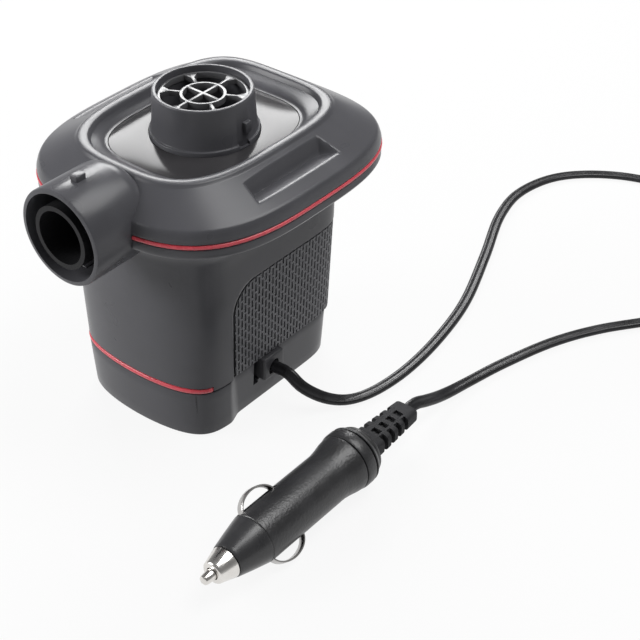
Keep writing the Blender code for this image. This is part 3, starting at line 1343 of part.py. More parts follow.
def make_boot(start):
    """Flat strain relief that tapers towards the cord, with staggered flex notches."""
    end = start + BOOT_LENGTH
    rings = [
        boot_ring(start, 0.0),
        boot_ring(start + BOOT_LENGTH * 0.3, 0.15),
        boot_ring(end - 0.6 * MM, 1.0),
        boot_ring(end, 1.15),
    ]
    boot = piece("plug_boot", loft(rings), BLACK_RUBBER)
    notches = []
    for k in range(BOOT_NOTCHES):
        y = end - 4.2 * MM - k * BOOT_NOTCH_PITCH
        wide = BOOT_NARROW * 0.28
        for side in (1, -1):
            near = PLUG_AXIS_Z + side * (BOOT_THICK / 2 - BOOT_NOTCH_DEPTH)
            zs = sorted((near, PLUG_AXIS_Z + side * BOOT_THICK))
            notches.append(
                block((PLUG_X - wide, y - BOOT_NOTCH_LENGTH, zs[0]), (PLUG_X + wide, y, zs[1]))
            )
            edge = BOOT_NARROW / 2 - 0.9 * MM + 0.35 * MM * k
            xs = sorted((PLUG_X + side * edge, PLUG_X + side * BOOT_WIDE))
            late = y - BOOT_NOTCH_PITCH / 2
            notches.append(
                block(
                    (xs[0], late - BOOT_NOTCH_LENGTH, PLUG_AXIS_Z - BOOT_THICK),
                    (xs[1], late, PLUG_AXIS_Z + BOOT_THICK),
                )
            )
    return combine(boot, helper("boot_notches", merged(notches)), "DIFFERENCE")


def make_pump():
    nozzle_cut = helper("nozzle_room", nozzle_form(SEAT_GAP))
    low = BODY_LOW_Z - CUT_MARGIN
    recess_cut = helper("grip_band", band_cutter(low, GRIP_TOP_Z, GRIP_CORNER))
    band_cut = helper("base_band", band_cutter(-CUT_MARGIN, BODY_LOW_Z + GRIP_LIFT, 0.0))
    make_top_cover()
    make_top_panel()
    make_grille()
    make_upper_trim(nozzle_cut)
    body = make_main_body(nozzle_cut, recess_cut)
    combine(body, helper("strip_groove", strip_groove()), "DIFFERENCE")
    make_grip_panels()
    make_lower_trim()
    make_base_cover(band_cut)
    make_gland()
    make_volute()
    make_inlet_plate()
    axis = joint_empty("rotor_axis", (0, 0, 0))
    make_impeller(axis)
    make_motor(axis)
    make_cushion()
    make_leads()


clear_scene()
HELPER_FINISH = material("helper", (0.8, 0.8, 0.8), 0.5)
DARK_SHELL = material("dark_shell", (0.075, 0.076, 0.08), 0.42)
PALE_PANEL = material("pale_panel", (0.72, 0.7, 0.7), 0.18)
RED_TRIM = material("red_trim", (0.5, 0.03, 0.045), 0.35)
GRIP_RUBBER = material("grip_rubber", (0.085, 0.085, 0.09), 0.55)
INNER_PLASTIC = material("inner_plastic", (0.03, 0.03, 0.032), 0.5)
BLACK_RUBBER = material("black_rubber", (0.03, 0.03, 0.033), 0.6)
CORD_BLACK = material("cord_black", (0.025, 0.025, 0.028), 0.45)
PLUG_BLACK = material("plug_black", (0.02, 0.02, 0.022), 0.35)
NICKEL = material("nickel", (0.72, 0.7, 0.67), 0.2, 1.0)
STEEL = material("steel", (0.55, 0.55, 0.56), 0.3, 1.0)
ZINC = material("zinc", (0.6, 0.6, 0.6), 0.4, 1.0)
LAMINATE = material("laminate", (0.3, 0.3, 0.31), 0.45, 1.0)
COPPER = material("copper", (0.72, 0.33, 0.16), 0.35, 1.0)
BRASS = material("brass", (0.72, 0.55, 0.25), 0.3, 1.0)
BRONZE = material("bronze", (0.5, 0.36, 0.2), 0.45, 1.0)
FERRITE = material("ferrite", (0.08, 0.08, 0.085), 0.7)
CARBON = material("carbon", (0.05, 0.05, 0.05), 0.6)
make_pump()
make_plug()
make_cord()
make_coil_tie()
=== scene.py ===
"""Looks of an electric air mattress pump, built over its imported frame. Lengths are in millimetres until a
mesh is made, and in metres from there on. The nozzle faces -Y and the cord leaves on +X."""

import math

import bmesh
import bpy
import numpy as np
from mathutils import Matrix, Vector


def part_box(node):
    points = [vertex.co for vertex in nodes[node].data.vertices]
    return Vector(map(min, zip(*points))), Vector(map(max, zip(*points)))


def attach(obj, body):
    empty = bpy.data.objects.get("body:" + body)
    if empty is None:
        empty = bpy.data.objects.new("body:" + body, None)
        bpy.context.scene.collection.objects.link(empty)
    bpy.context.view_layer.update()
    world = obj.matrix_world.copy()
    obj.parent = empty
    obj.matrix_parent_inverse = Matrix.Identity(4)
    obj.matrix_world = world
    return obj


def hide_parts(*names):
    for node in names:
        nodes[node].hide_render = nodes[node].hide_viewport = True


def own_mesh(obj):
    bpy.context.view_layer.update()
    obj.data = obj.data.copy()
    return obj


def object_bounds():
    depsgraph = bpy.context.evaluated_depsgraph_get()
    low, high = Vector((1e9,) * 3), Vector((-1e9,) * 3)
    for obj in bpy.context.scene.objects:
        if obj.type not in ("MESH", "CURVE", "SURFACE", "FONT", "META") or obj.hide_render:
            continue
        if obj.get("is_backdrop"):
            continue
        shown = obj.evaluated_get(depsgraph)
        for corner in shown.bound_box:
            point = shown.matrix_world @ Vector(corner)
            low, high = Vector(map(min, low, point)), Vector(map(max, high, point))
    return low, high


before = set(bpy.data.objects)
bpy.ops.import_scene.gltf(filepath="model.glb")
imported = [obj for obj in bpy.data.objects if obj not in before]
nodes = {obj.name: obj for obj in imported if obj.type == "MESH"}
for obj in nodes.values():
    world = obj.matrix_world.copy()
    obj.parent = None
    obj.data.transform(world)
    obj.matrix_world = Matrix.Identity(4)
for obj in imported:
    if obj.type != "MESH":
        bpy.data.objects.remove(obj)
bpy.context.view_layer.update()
mm = 0.001


# Base cover: a cup moulded in dark grey ABS that closes the pump from below. Its flanks and back step in
# behind the two front corners, and a fine parting groove runs down each of those corners.
body_x, foot_half_x, foot_half_y = -1.6, 35.1, 47.4
growth_x, growth_y, growth_height = 2.4, 1.3, 80.0
flank_power = 9
band_top = 66.5


def body_plan(turns, inset, z):
    """Points of the body's plan at a height: flat flanks, bowed front and back, wider towards the top."""
    half_x = foot_half_x + growth_x * z / growth_height - inset
    half_y = foot_half_y + growth_y * z / growth_height - inset
    c, s = np.cos(turns), np.sin(turns)
    x = body_x + c * half_x
    y = np.sign(s) * np.abs(s) ** (2 / flank_power) * half_y
    return np.column_stack([x, y, np.full(len(turns), z)])


def ease(share):
    """A smooth step from 0 to 1."""
    share = np.clip(share, 0.0, 1.0)
    return share * share * (3 - 2 * share)


def band_depth(z):
    """How far the grip band lies below the body's plan."""
    return 2.3 - 1.15 * z / band_top


def skin(rings, loop=False):
    """A closed skin through rings of equal count, capped at both ends or joined into a loop."""
    made = bmesh.new()
    rows = [[made.verts.new(Vector(p) * mm) for p in ring] for ring in rings]
    pairs = list(zip(rows, rows[1:])) + ([(rows[-1], rows[0])] if loop else [])
    for low, high in pairs:
        for k in range(len(low)):
            n = (k + 1) % len(low)
            made.faces.new((low[k], low[n], high[n], high[k]))
    if not loop:
        made.faces.new(rows[0][::-1])
        made.faces.new(rows[-1])
    return made


def piece(name, made, finish, crease=32):
    """One object from a bmesh: faces turned outwards, smooth up to the crease angle."""
    bmesh.ops.recalc_face_normals(made, faces=made.faces[:])
    data = bpy.data.meshes.new(name)
    made.to_mesh(data)
    made.free()
    data.shade_smooth()
    data.set_sharp_from_angle(angle=math.radians(crease))
    shown = bpy.data.objects.new(name, data)
    bpy.context.scene.collection.objects.link(shown)
    if finish:
        data.materials.append(finish)
    return shown


def carve(target, made, operation="DIFFERENCE", crease=32):
    """Cuts or joins a bmesh into a piece, and keeps only the result."""
    tool = piece("tool", made, None)
    step = target.modifiers.new("carve", "BOOLEAN")
    step.operation = operation
    step.object = tool
    step.solver = "EXACT"
    done = bpy.data.meshes.new_from_object(target.evaluated_get(bpy.context.evaluated_depsgraph_get()))
    target.modifiers.clear()
    worn, target.data = target.data, done
    done.name = worn.name
    bpy.data.meshes.remove(worn)
    bpy.data.objects.remove(tool)
    done.shade_smooth()
    done.set_sharp_from_angle(angle=math.radians(crease))
    return target


def moved(made, place, turn=0.0, axis="Z"):
    """A bmesh turned about an axis and then moved to a place."""
    stand = Matrix.Translation(Vector(place) * mm) @ Matrix.Rotation(turn, 4, axis)
    bmesh.ops.transform(made, matrix=stand, verts=made.verts[:])
    return made


def slab(low, high, turn=0.0, round_off=0.0):
    """A box between two corners, turned about Z, with its edges rounded off."""
    made = bmesh.new()
    bmesh.ops.create_cube(made, size=1.0)
    low, high = Vector(low) * mm, Vector(high) * mm
    bmesh.ops.scale(made, vec=high - low, verts=made.verts[:])
    bmesh.ops.translate(made, vec=(low + high) / 2, verts=made.verts[:])
    if round_off:
        bmesh.ops.bevel(
            made, geom=made.edges[:], offset=round_off * mm, segments=3, profile=0.5, affect="EDGES"
        )
    return moved(made, (0, 0, 0), math.radians(turn))


def node_group(name, inputs, outputs):
    """An empty shader node group with named sockets: its tree, its input node and its output node."""
    tree = bpy.data.node_groups.new(name, "ShaderNodeTree")
    for label, kind, value in inputs:
        tree.interface.new_socket(label, in_out="INPUT", socket_type=kind).default_value = value
    for label, kind in outputs:
        tree.interface.new_socket(label, in_out="OUTPUT", socket_type=kind)
    return tree, tree.nodes.new("NodeGroupInput"), tree.nodes.new("NodeGroupOutput")


def spark_grain():
    """Grain of a spark-eroded mould: a fine height, and a slow drift in tone and gloss."""
    tree, given, out = node_group(
        "spark_grain",
        [("Grain size", "NodeSocketFloat", 2500.0), ("Drift size", "NodeSocketFloat", 60.0)],
        [("Height", "NodeSocketFloat"), ("Drift", "NodeSocketFloat")],
    )
    place = tree.nodes.new("ShaderNodeTexCoord")
    fine = tree.nodes.new("ShaderNodeTexNoise")
    fine.inputs["Detail"].default_value = 3.0
    slow = tree.nodes.new("ShaderNodeTexNoise")
    slow.inputs["Detail"].default_value = 2.0
    for noise, size, label in ((fine, "Grain size", "Height"), (slow, "Drift size", "Drift")):
        tree.links.new(place.outputs["Object"], noise.inputs["Vector"])
        tree.links.new(given.outputs[size], noise.inputs["Scale"])
        tree.links.new(noise.outputs["Fac"], out.inputs[label])
    return tree


grain_group = spark_grain()


def shader_of(name):
    """A new material with its node tree and its Principled shader."""
    made = bpy.data.materials.new(name)
    made.use_nodes = True
    return made, made.node_tree, made.node_tree.nodes["Principled BSDF"]


def spread(tree, source, low, high, start=0.3, stop=0.7):
    """A value that runs from low to high as its source runs from start to stop."""
    span = tree.nodes.new("ShaderNodeMapRange")
    span.inputs["From Min"].default_value = start
    span.inputs["From Max"].default_value = stop
    span.inputs["To Min"].default_value = low
    span.inputs["To Max"].default_value = high
    tree.links.new(source, span.inputs["Value"])
    return span.outputs["Result"]


def two_tone(tree, source, dark, light):
    """A colour between two tones, by a mask."""
    mix = tree.nodes.new("ShaderNodeMix")
    mix.data_type = "RGBA"
    mix.inputs["A"].default_value = (*dark, 1.0)
    mix.inputs["B"].default_value = (*light, 1.0)
    tree.links.new(source, mix.inputs["Factor"])
    return mix.outputs["Result"]


def relief(tree, shader, height, strength, depth):
    """A bump from a height, with its depth in millimetres."""
    bump = tree.nodes.new("ShaderNodeBump")
    bump.inputs["Strength"].default_value = strength
    bump.inputs["Distance"].default_value = depth * mm
    tree.links.new(height, bump.inputs["Height"])
    tree.links.new(bump.outputs["Normal"], shader.inputs["Normal"])


def moulded(name, dark, light, gloss, grain=2500.0, drift=60.0, strength=0.12, depth=0.05, shine=0.5):
    """Moulded plastic: two close tones, a range of roughness, and the mould's grain."""
    made, tree, shader = shader_of(name)
    shader.inputs["Specular IOR Level"].default_value = shine
    texture = tree.nodes.new("ShaderNodeGroup")
    texture.node_tree = grain_group
    texture.inputs["Grain size"].default_value = grain
    texture.inputs["Drift size"].default_value = drift
    tone = spread(tree, texture.outputs["Drift"], 0.0, 1.0)
    tree.links.new(two_tone(tree, tone, dark, light), shader.inputs["Base Color"])
    tree.links.new(spread(tree, texture.outputs["Drift"], *gloss), shader.inputs["Roughness"])
    relief(tree, shader, texture.outputs["Height"], strength, depth)
    return made


shell_grey = moulded("shell_grey", (0.059, 0.059, 0.065), (0.066, 0.066, 0.073), (0.27, 0.32), shine=0.25)
base_top, step_front, step_wide = 22.3, -28.0, 7.0


def plan_turns(step, *extra):
    """Turns round the plan in radians, closer together along the front half of each flank."""
    turns = [np.linspace(0, 360, 193)[:-1], np.arange(351, 360, step), np.arange(180, 189, step), extra]
    return np.radians(np.unique(np.round(np.concatenate(turns), 3)))


ring_turns = plan_turns(0.45)


def base_ring(inset, z):
    """A ring of the base, stepped in to the depth of the grip band behind the front corners."""
    y = body_plan(ring_turns, 0.0, z)[:, 1]
    stepped = ease((y - step_front) / (step_wide - 3.0 * z / base_top)) * band_depth(z)
    return body_plan(ring_turns, inset + stepped, z)


foot_radius, draft, side_top, wall = 1.0, 0.5, 21.9, 2.5
foot_arc = np.radians((0, 30, 60, 90))
base_rings = [base_ring(draft + foot_radius - math.sin(a), foot_radius - math.cos(a)) for a in foot_arc]
base_rings += [base_ring(draft * (1 - z / side_top), z) for z in (6.0, 12.0, 18.0, side_top)]
base_rings += [base_ring(0.12, 22.18), base_ring(0.4, base_top)]
base_rings += [base_ring(wall, z) for z in (base_top, wall)]
base = piece("base_shell", skin(base_rings), shell_grey)
groove_x, groove_y, groove_turn = 29.8, -41.9, 0.62
for side in (1, -1):
    groove = slab((-0.25, -1.0, -2.0), (0.25, 0.6, 21.6))
    carve(base, moved(groove, (body_x + side * groove_x, groove_y, 0), side * groove_turn))
gland_notch = ((24.0, -9.0, 11.3), (42.0, 3.9, 24.0))
gland_side_gap = ((29.0, -11.6, 9.7), (42.0, -8.8, 24.0))
for gap in (gland_notch, gland_side_gap):
    carve(base, slab(*gap))
screw_spots = [(x, y) for x in (-23.0, 19.8) for y in (-33.0, 33.0)]


def full_turn(count):
    """Turns evenly spaced round a circle, in radians."""
    return np.linspace(0, 2 * math.pi, count, endpoint=False)


def lathe(profile, sides=48):
    """Rings of a profile of (radius, height) pairs turned about Z."""
    turns = full_turn(sides)
    unit = np.column_stack([np.cos(turns), np.sin(turns)])
    return [np.column_stack([unit * radius, np.full(sides, height)]) for radius, height in profile]


def upright(profile, spot):
    """A profile turned about an upright axis over a spot."""
    return skin([ring + (*spot, 0.0) for ring in lathe(profile)])


for spot in screw_spots:
    carve(base, upright([(3.6, -1.0), (3.6, 2.0)], spot))
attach(base, "housing")
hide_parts("base_cover")


# Base screws: four pan-head self-tapping screws, zinc-plated steel, sunk into the underside of the base.
# Each head is domed and has a cross recess.
def metal(name, dark, light, gloss, grain=900.0, strength=0.05):
    """Bare or plated metal: a little drift in tone and polish, and fine handling marks."""
    made = moulded(name, dark, light, gloss, grain, 150.0, strength, 0.02)
    made.node_tree.nodes["Principled BSDF"].inputs["Metallic"].default_value = 1.0
    return made


zinc_plate = metal("zinc_plate", (0.52, 0.53, 0.55), (0.62, 0.63, 0.64), (0.26, 0.38))
head = [(2.9, 1.95), (2.9, 1.2), (2.6, 0.75), (1.7, 0.45), (0.6, 0.35)]
for number, spot in enumerate(screw_spots):
    screw = piece(f"base_screw_{number + 1}", upright(head, spot), zinc_plate)
    for turn in (0, 90):
        cross = slab((-1.5, -0.3, -1.0), (1.5, 0.3, 1.1), turn + 20 * number)
        carve(screw, moved(cross, (*spot, 0.0)))
    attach(screw, "housing")


# Main body: the tall shell in the same dark grey ABS, injection moulded in one piece. It stands straight up
# from the base and flares out to the lid's outline. A shallow band takes the grips and a rebate the strip.
lid_half_x, lid_half_y, lid_middle = 56.0, 62.4, (0.8, 0.8)
lid_front_power, lid_back_power = 2.95, 3.4


def lid_plan(inset, z, turns):
    """The lid's outline, which the top of the body follows: an oval that is squarer at the back."""
    power = np.where(np.sin(turns) > 0, lid_back_power, lid_front_power)
    return oval(lid_half_x - inset, lid_half_y - inset, power, z, turns, lid_middle)


def oval(half_x, half_y, power, z, turns, centre=(0.0, 0.0)):
    """A rounded rectangle: an ellipse at power 2, squarer the higher the power."""
    c, s = np.cos(turns), np.sin(turns)
    x = centre[0] + np.sign(c) * np.abs(c) ** (2 / power) * half_x
    y = centre[1] + np.sign(s) * np.abs(s) ** (2 / power) * half_y
    return np.column_stack([x, y, np.full(len(turns), z)])


def through(knots, steps):
    """A smooth curve through knots of any shape, with slopes that suit uneven distances between them."""
    knots = [np.asarray(knot, float) for knot in knots]
    gaps = [max(float(np.sqrt(((b - a) ** 2).mean())), 1e-6) for a, b in zip(knots, knots[1:])]
    rates = [(b - a) / gap for a, b, gap in zip(knots, knots[1:], gaps)]
    slopes = [rates[0]]
    for k in range(1, len(rates)):
        slopes.append((rates[k - 1] * gaps[k] + rates[k] * gaps[k - 1]) / (gaps[k] + gaps[k - 1]))
    slopes.append(rates[-1])
    curve = []
    for k, gap in enumerate(gaps):
        for t in np.arange(steps) / steps:
            a, b = (1 + 2 * t) * (1 - t) ** 2, t * t * (3 - 2 * t)
            c, d = t * (1 - t) ** 2, t * t * (t - 1)
            curve.append(knots[k] * a + knots[k + 1] * b + (slopes[k] * c + slopes[k + 1] * d) * gap)
    return curve + [knots[-1]]


body_turns = plan_turns(0.4, 196.6, 196.9, 343.1, 343.4)
band_front, band_corner = -25.5, 13.0


def grip_mask(y, z):
    """One inside the band for the grips, zero outside, with an eased edge and a round upper front corner."""
    ahead, above = band_front + band_corner - y, z - (band_top - band_corner)
    inside = np.minimum(y - band_front, band_top - z)
    rounded = band_corner - np.hypot(ahead, above)
    return ease(np.where((ahead > 0) & (above > 0), rounded, inside) / 1.3 + 0.5)


def body_ring(inset, z, rebate=0.0):
    """A ring of the body with the grip band, and with the strip's rebate along the front."""
    y = body_plan(body_turns, 0.0, z)[:, 1]
    front = (body_turns > math.radians(196.7)) & (body_turns < math.radians(343.3))
    return body_plan(body_turns, inset + grip_mask(y, z) * band_depth(z) + front * rebate, z)


def flared(share, z):
    """A ring between the body's plan and the lid's."""
    return body_ring(0.0, z) * (1 - share) + lid_plan(0.0, z, body_turns) * share


body_foot = 22.6
body_rings = [body_ring(3.0, body_foot), body_ring(0.3, body_foot, 1.4), body_ring(0.0, 22.9, 1.5)]
body_rings += [body_ring(0.0, 24.85, 1.5), body_ring(0.0, 24.87, 0.25), body_ring(0.0, 25.2)]
body_rings += [body_ring(0.0, z) for z in (32.0, 40.0, 47.0)]
body_rings += [body_ring(0.0, z) for z in np.arange(52.0, 68.1, 0.5)]
body_rings += [body_ring(0.0, z) for z in (70.0, 74.0, 77.0)]
flare = through([(0.0, 80.0), (0.08, 87.9), (0.32, 92.7), (0.68, 95.9), (0.94, 97.4), (1.0, 98.8)], 5)
body_rings += [flared(share, z) for share, z in flare]
lip_section = ((0.0, 101.5), (0.12, 101.8), (0.4, 101.9), (3.2, 101.9))
lip = [lid_plan(inset, z, body_turns) for inset, z in lip_section]
inner = [lid_plan(3.6, 99.3, body_turns), body_ring(3.0, 86.0), body_ring(3.0, 60.0)]
body = piece("body_shell", skin(body_rings + lip + inner, loop=True), shell_grey)


def laid(rings, x, z):
    """Rings turned about Z laid along Y: their height becomes +Y."""
    return [np.column_stack([ring[:, 0] + x, ring[:, 2], z - ring[:, 1]]) for ring in rings]


port_radius, nozzle_z = 19.5, 103.2


def nozzle_form(grow):
    """The nozzle's outside: a straight tube with a rounded mouth, whose inner end rounds off into the lid."""
    radius = port_radius + grow
    profile = [(radius - 0.8, -77.7 - grow), (radius - 0.25, -77.45 - grow), (radius, -76.9)]
    for turn in np.linspace(0, math.pi / 2, 14):
        profile.append((radius - 5.3 * (1 - math.cos(turn)), -54.0 + (7.0 + grow) * math.sin(turn)))
    return skin(laid(lathe(profile, 128), 0.0, nozzle_z))


nozzle_gap = 0.3
carve(body, nozzle_form(nozzle_gap))
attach(body, "housing")
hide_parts("main_body")


# Grip panels: two thin soft-touch mouldings bonded into the band, from behind the front corners round to the
# middle of the back. Staggered upright slots are moulded into them so that a damp hand holds the pump.
grip_black = moulded(
    "grip_black", (0.100, 0.100, 0.108), (0.116, 0.116, 0.125), (0.42, 0.52), 1800.0, 90.0, 0.2, shine=0.3
)
side_y = np.arange(-32.0, 45.9, 0.2)
side_turns = np.sign(side_y) * np.arcsin((np.abs(side_y) / foot_half_y) ** (flank_power / 2))
flank = np.sort(np.concatenate([side_turns, np.radians(np.arange(60, 90.1, 0.5))]))
line = body_plan(flank, 1.2, 45.0)[:, :2]
reach = np.concatenate([[0.0], np.cumsum(np.hypot(*np.diff(line, axis=0).T))])
start = float(np.interp(band_front, line[:, 1], reach))


def grip_point(along, z, inset):
    """A place on the right-hand panel: distance along the plan from its front edge, height, and depth."""
    turn = np.interp(start + along, reach, flank)
    return body_plan(np.array([turn]), band_depth(z) + inset, z)[0]


def grip_sheet():
    """The panel's textured slab before it is trimmed: slots about half a pitch wide, in staggered rows."""
    pitch, slot, rise, tall, foot = 2.0, 0.95, 4.5, 3.5, 21.0
    depths = {"face": -1.0, "sunk": -0.5, "back": -0.3}
    columns = int((reach[-1] - start) / pitch) + 1
    along = np.concatenate([[k * pitch - 1.0, k * pitch - 1.0 + slot] for k in range(columns)])
    levels = (0, tall - rise / 2, rise / 2, tall)
    heights = np.unique(np.round([foot + rise * row + level for row in range(11) for level in levels], 3))
    made = bmesh.new()
    known = {}

    def at(i, j, level):
        key = (i, j, level)
        if key not in known:
            known[key] = made.verts.new(Vector(grip_point(along[i], heights[j], depths[level])) * mm)
        return known[key]

    def is_slot(i, j):
        if i < 0 or j < 0 or i >= len(along) - 1 or j >= len(heights) - 1 or i % 2:
            return False
        middle = (heights[j] + heights[j + 1]) / 2 - foot - (rise / 2 if (i // 2) % 2 else 0.0)
        return 0 < middle % rise < tall and middle > 0

    for i in range(len(along) - 1):
        for j in range(len(heights) - 1):
            corners = [(i, j), (i + 1, j), (i + 1, j + 1), (i, j + 1)]
            level = "sunk" if is_slot(i, j) else "face"
            made.faces.new([at(*corner, level) for corner in corners])
            made.faces.new([at(*corner, "back") for corner in corners[::-1]])
            sides = ((i, j - 1, 0, 1), (i + 1, j, 1, 2), (i, j + 1, 2, 3), (i - 1, j, 3, 0))
            for near_i, near_j, a, b in sides:
                inside = 0 <= near_i < len(along) - 1 and 0 <= near_j < len(heights) - 1
                if level == "sunk" and not is_slot(near_i, near_j) and inside:
                    ends = [at(*corners[b], "sunk"), at(*corners[a], "sunk")]
                    made.faces.new(ends + [at(*corners[a], "face"), at(*corners[b], "face")])
                if not inside:
                    ends = [at(*corners[a], "back"), at(*corners[b], "back")]
                    made.faces.new(ends + [at(*corners[b], level), at(*corners[a], level)])
    return made


def grip_trim():
    """The panel's outline as a solid, used to trim the textured slab."""
    corner = np.linspace(0, math.pi / 2, 12)
    stations = [(band_corner * (1 - math.cos(a)) + 1.5, 12.7 * (1 - math.sin(a))) for a in corner]
    stations += [(s, 0.0) for s in np.linspace(16.5, reach[-1] - start - 0.15, 40)]
    rings = []
    for along, drop in stations:
        low, high = 22.95, 66.2 - drop
        rings.append([grip_point(along, low, 3.0), grip_point(along, low, -4.0)])
        rings[-1] += [grip_point(along, high, -4.0), grip_point(along, high, 3.0)]
    return skin(rings)


grip_right = piece("grip_right", grip_sheet(), grip_black, 40)
carve(grip_right, grip_trim(), "INTERSECT", 40)
grip_left = grip_right.copy()
grip_left.data = grip_right.data.copy()
grip_left.name = "grip_left"
bpy.context.scene.collection.objects.link(grip_left)
for vertex in grip_left.data.vertices:
    vertex.co.x = 2 * body_x * mm - vertex.co.x
grip_left.data.flip_normals()
for grip, node in ((grip_right, "grip_panel_right"), (grip_left, "grip_panel_left")):
    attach(grip, "housing")
    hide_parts(node)


# Lower trim strip: a thin red ABS strip pressed into the rebate along the front of the base seam. Its face
# is rounded and stands a hair proud, and its two ends are bevelled.
trim_red = moulded("trim_red", (0.52, 0.052, 0.072), (0.60, 0.062, 0.084), (0.24, 0.32), 2200.0, 120.0, 0.06)


def strip_ring(turn, squeeze):
    """The strip's section at a turn round the body, drawn in by a share towards its back."""
    deep, middle = 1.2, 23.6
    section = [(deep, -1.0), (0.2, -1.0), (-0.1, -0.75), (-0.2, 0.0), (-0.1, 0.75), (0.2, 1.0), (deep, 1.0)]
    places = [(deep - (deep - inset) * squeeze, middle + rise * squeeze) for inset, rise in section]
    return [body_plan(np.array([turn]), inset, z)[0] for inset, z in places]


strip_turns = np.radians(np.linspace(196.75, 343.25, 90))
squeezes = [0.7] + [1.0] * 88 + [0.7]
strip = piece("red_strip", skin([strip_ring(t, s) for t, s in zip(strip_turns, squeezes)]), trim_red, 50)
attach(strip, "housing")
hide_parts("lower_trim_strip")


# Upper trim ring: a red ABS band clamped between body and lid all round, open where the nozzle passes.
# Its edge is half round.
side_y = np.concatenate([np.arange(0.0, 29.0, 0.6), (31.0, 34.0)])
straight = np.arcsin((side_y / lid_half_y) ** (lid_front_power / 2))
quarter = np.unique(np.concatenate([straight, np.radians(np.arange(25, 91, 1.875))]))
half = np.concatenate([-quarter[:0:-1], quarter[:-1]])
lid_turns = np.concatenate([half, half + math.pi])
trim_section = [(2.8, 102.1), (0.5, 102.1), (0.0, 102.2), (-0.25, 102.5), (-0.3, 102.95)]
trim_section += [(-0.25, 103.4), (0.0, 103.7), (0.5, 103.8), (2.8, 103.8)]
trim_rings = [lid_plan(inset, z, lid_turns) for inset, z in trim_section]
trim = piece("red_trim_ring", skin(trim_rings, loop=True), trim_red, 50)
carve(trim, nozzle_form(nozzle_gap), crease=50)
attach(trim, "housing")
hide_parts("upper_trim_ring")


# Lid: the top cover, moulded in dark grey ABS in one piece with the intake port and the outlet nozzle. A
# flat rim runs round the dish that holds the glossy panel, and each long shoulder has a finger pocket.
rim_half_x, rim_half_y, rim_middle, rim_top = 35.3, 45.9, (-0.4, 0.4), 118.68
panel_half_x, panel_half_y, panel_power = 29.3, 36.3, 3.1


def bead_plan(inset, z):
    """The rim's outline, squarer at the back as the lid's is."""
    power = np.where(np.sin(lid_turns) > 0, 3.9, 3.2)
    return oval(rim_half_x - inset, rim_half_y - inset, power, z, lid_turns, rim_middle)


def panel_plan(inset, z):
    """The glossy panel's outline."""
    return oval(panel_half_x - inset, panel_half_y - inset, panel_power, z, lid_turns)


def lid_at(inset, z):
    """The lid's outline in the turns that its rings share."""
    return lid_plan(inset, z, lid_turns)


def circle(radius, z):
    """A round ring in the turns that the lid's rings share."""
    return oval(radius, radius, 2.0, z, lid_turns)


def soft_max(a, b, blend):
    """The larger of two heights, with a round of the given size where they cross."""
    mix = np.clip(0.5 + (a - b) / (2 * blend), 0.0, 1.0)
    return b + (a - b) * mix + blend * mix * (1 - mix)


def pocketed(ring, drop=0.0):
    """A ring of the lid pressed down to the finger pockets: a rising floor, a back wall and splayed ends."""
    foot_x, middle_y, half_length, foot_z = 42.4, -1.7, 18.8, 110.2
    out, y, z = np.abs(ring[:, 0]) - foot_x, np.abs(ring[:, 1] - middle_y), ring[:, 2]
    walls = soft_max(-2.44 * out, 1.67 * (y - half_length - 0.5 * out), 0.8)
    floor = foot_z + soft_max(walls, 0.23 * out, 0.8) - drop
    pressed = -soft_max(-z, -floor, 0.7)
    return np.column_stack([ring[:, :2], np.where(floor < z + 1.0, pressed, z)])


edge = [lid_at(0.4, 104.0), lid_at(0.1, 104.12), lid_at(0.0, 104.4)]
edge += through([lid_at(0.0, 105.4), lid_at(0.9, 108.3), lid_at(1.4, 109.1), lid_at(2.3, 109.75)], 3)
foot = bead_plan(-2.8, 117.42)
slope = [edge[-1] * (1 - t) + foot * t for t in np.arange(1, 44) / 44]
rim_section = [(-2.3, 117.9), (-1.7, 118.5), (-1.2, rim_top), (1.2, rim_top), (1.7, 118.5), (2.3, 117.7)]
crest = [foot] + [bead_plan(inset, z) for inset, z in rim_section] + [bead_plan(2.8, 116.7)]
dish = [crest[-1], panel_plan(-2.2, 115.0), panel_plan(-0.9, 114.1), panel_plan(-0.08, 113.9)]
outer = slope + through(crest, 3)[:-1] + through(dish, 5)
seat, underside = 112.3, 109.9
hub = [circle(17.4, seat), circle(17.4, underside)]
inner_rim, inner_edge = bead_plan(-2.6, 114.9), lid_at(2.6, 108.6)
under = [panel_plan(-0.3, underside), bead_plan(2.6, 113.7), inner_rim]
under += [inner_rim * (1 - t) + inner_edge * t for t in np.arange(1, 24) / 24]
under += [inner_edge, lid_at(2.2, 104.0)]
rings = edge + [pocketed(ring) for ring in outer] + [panel_plan(-0.08, seat)] + hub
rings += [pocketed(ring, 2.0) for ring in under]
lid = piece("lid_shell", skin(rings, loop=True), shell_grey)
port_top, bore_radius, grille_seat = 131.9, 17.9, 126.8
port = [(16.7, 110.6), (21.6, 110.6), (21.6, 115.1), (21.45, 115.35), (21.1, 115.45), (20.75, 115.6)]
port += [(20.5, 116.1), (19.55, 131.1), (port_radius, 131.5), (19.3, 131.8), (19.1, port_top)]
port += [(18.2, port_top), (18.0, 131.8), (bore_radius, 131.5)]
port += [(bore_radius, grille_seat), (16.7, grille_seat)]
carve(lid, skin(lathe(port, 128), loop=True), "UNION")
carve(lid, nozzle_form(0.0), "UNION")
hollow = [(17.7, -80.0), (17.55, -77.0), (17.4, -76.0), (17.4, -61.7), (13.0, -61.7), (13.0, -44.0)]
carve(lid, skin(laid(lathe(hollow, 128), 0.0, nozzle_z)))
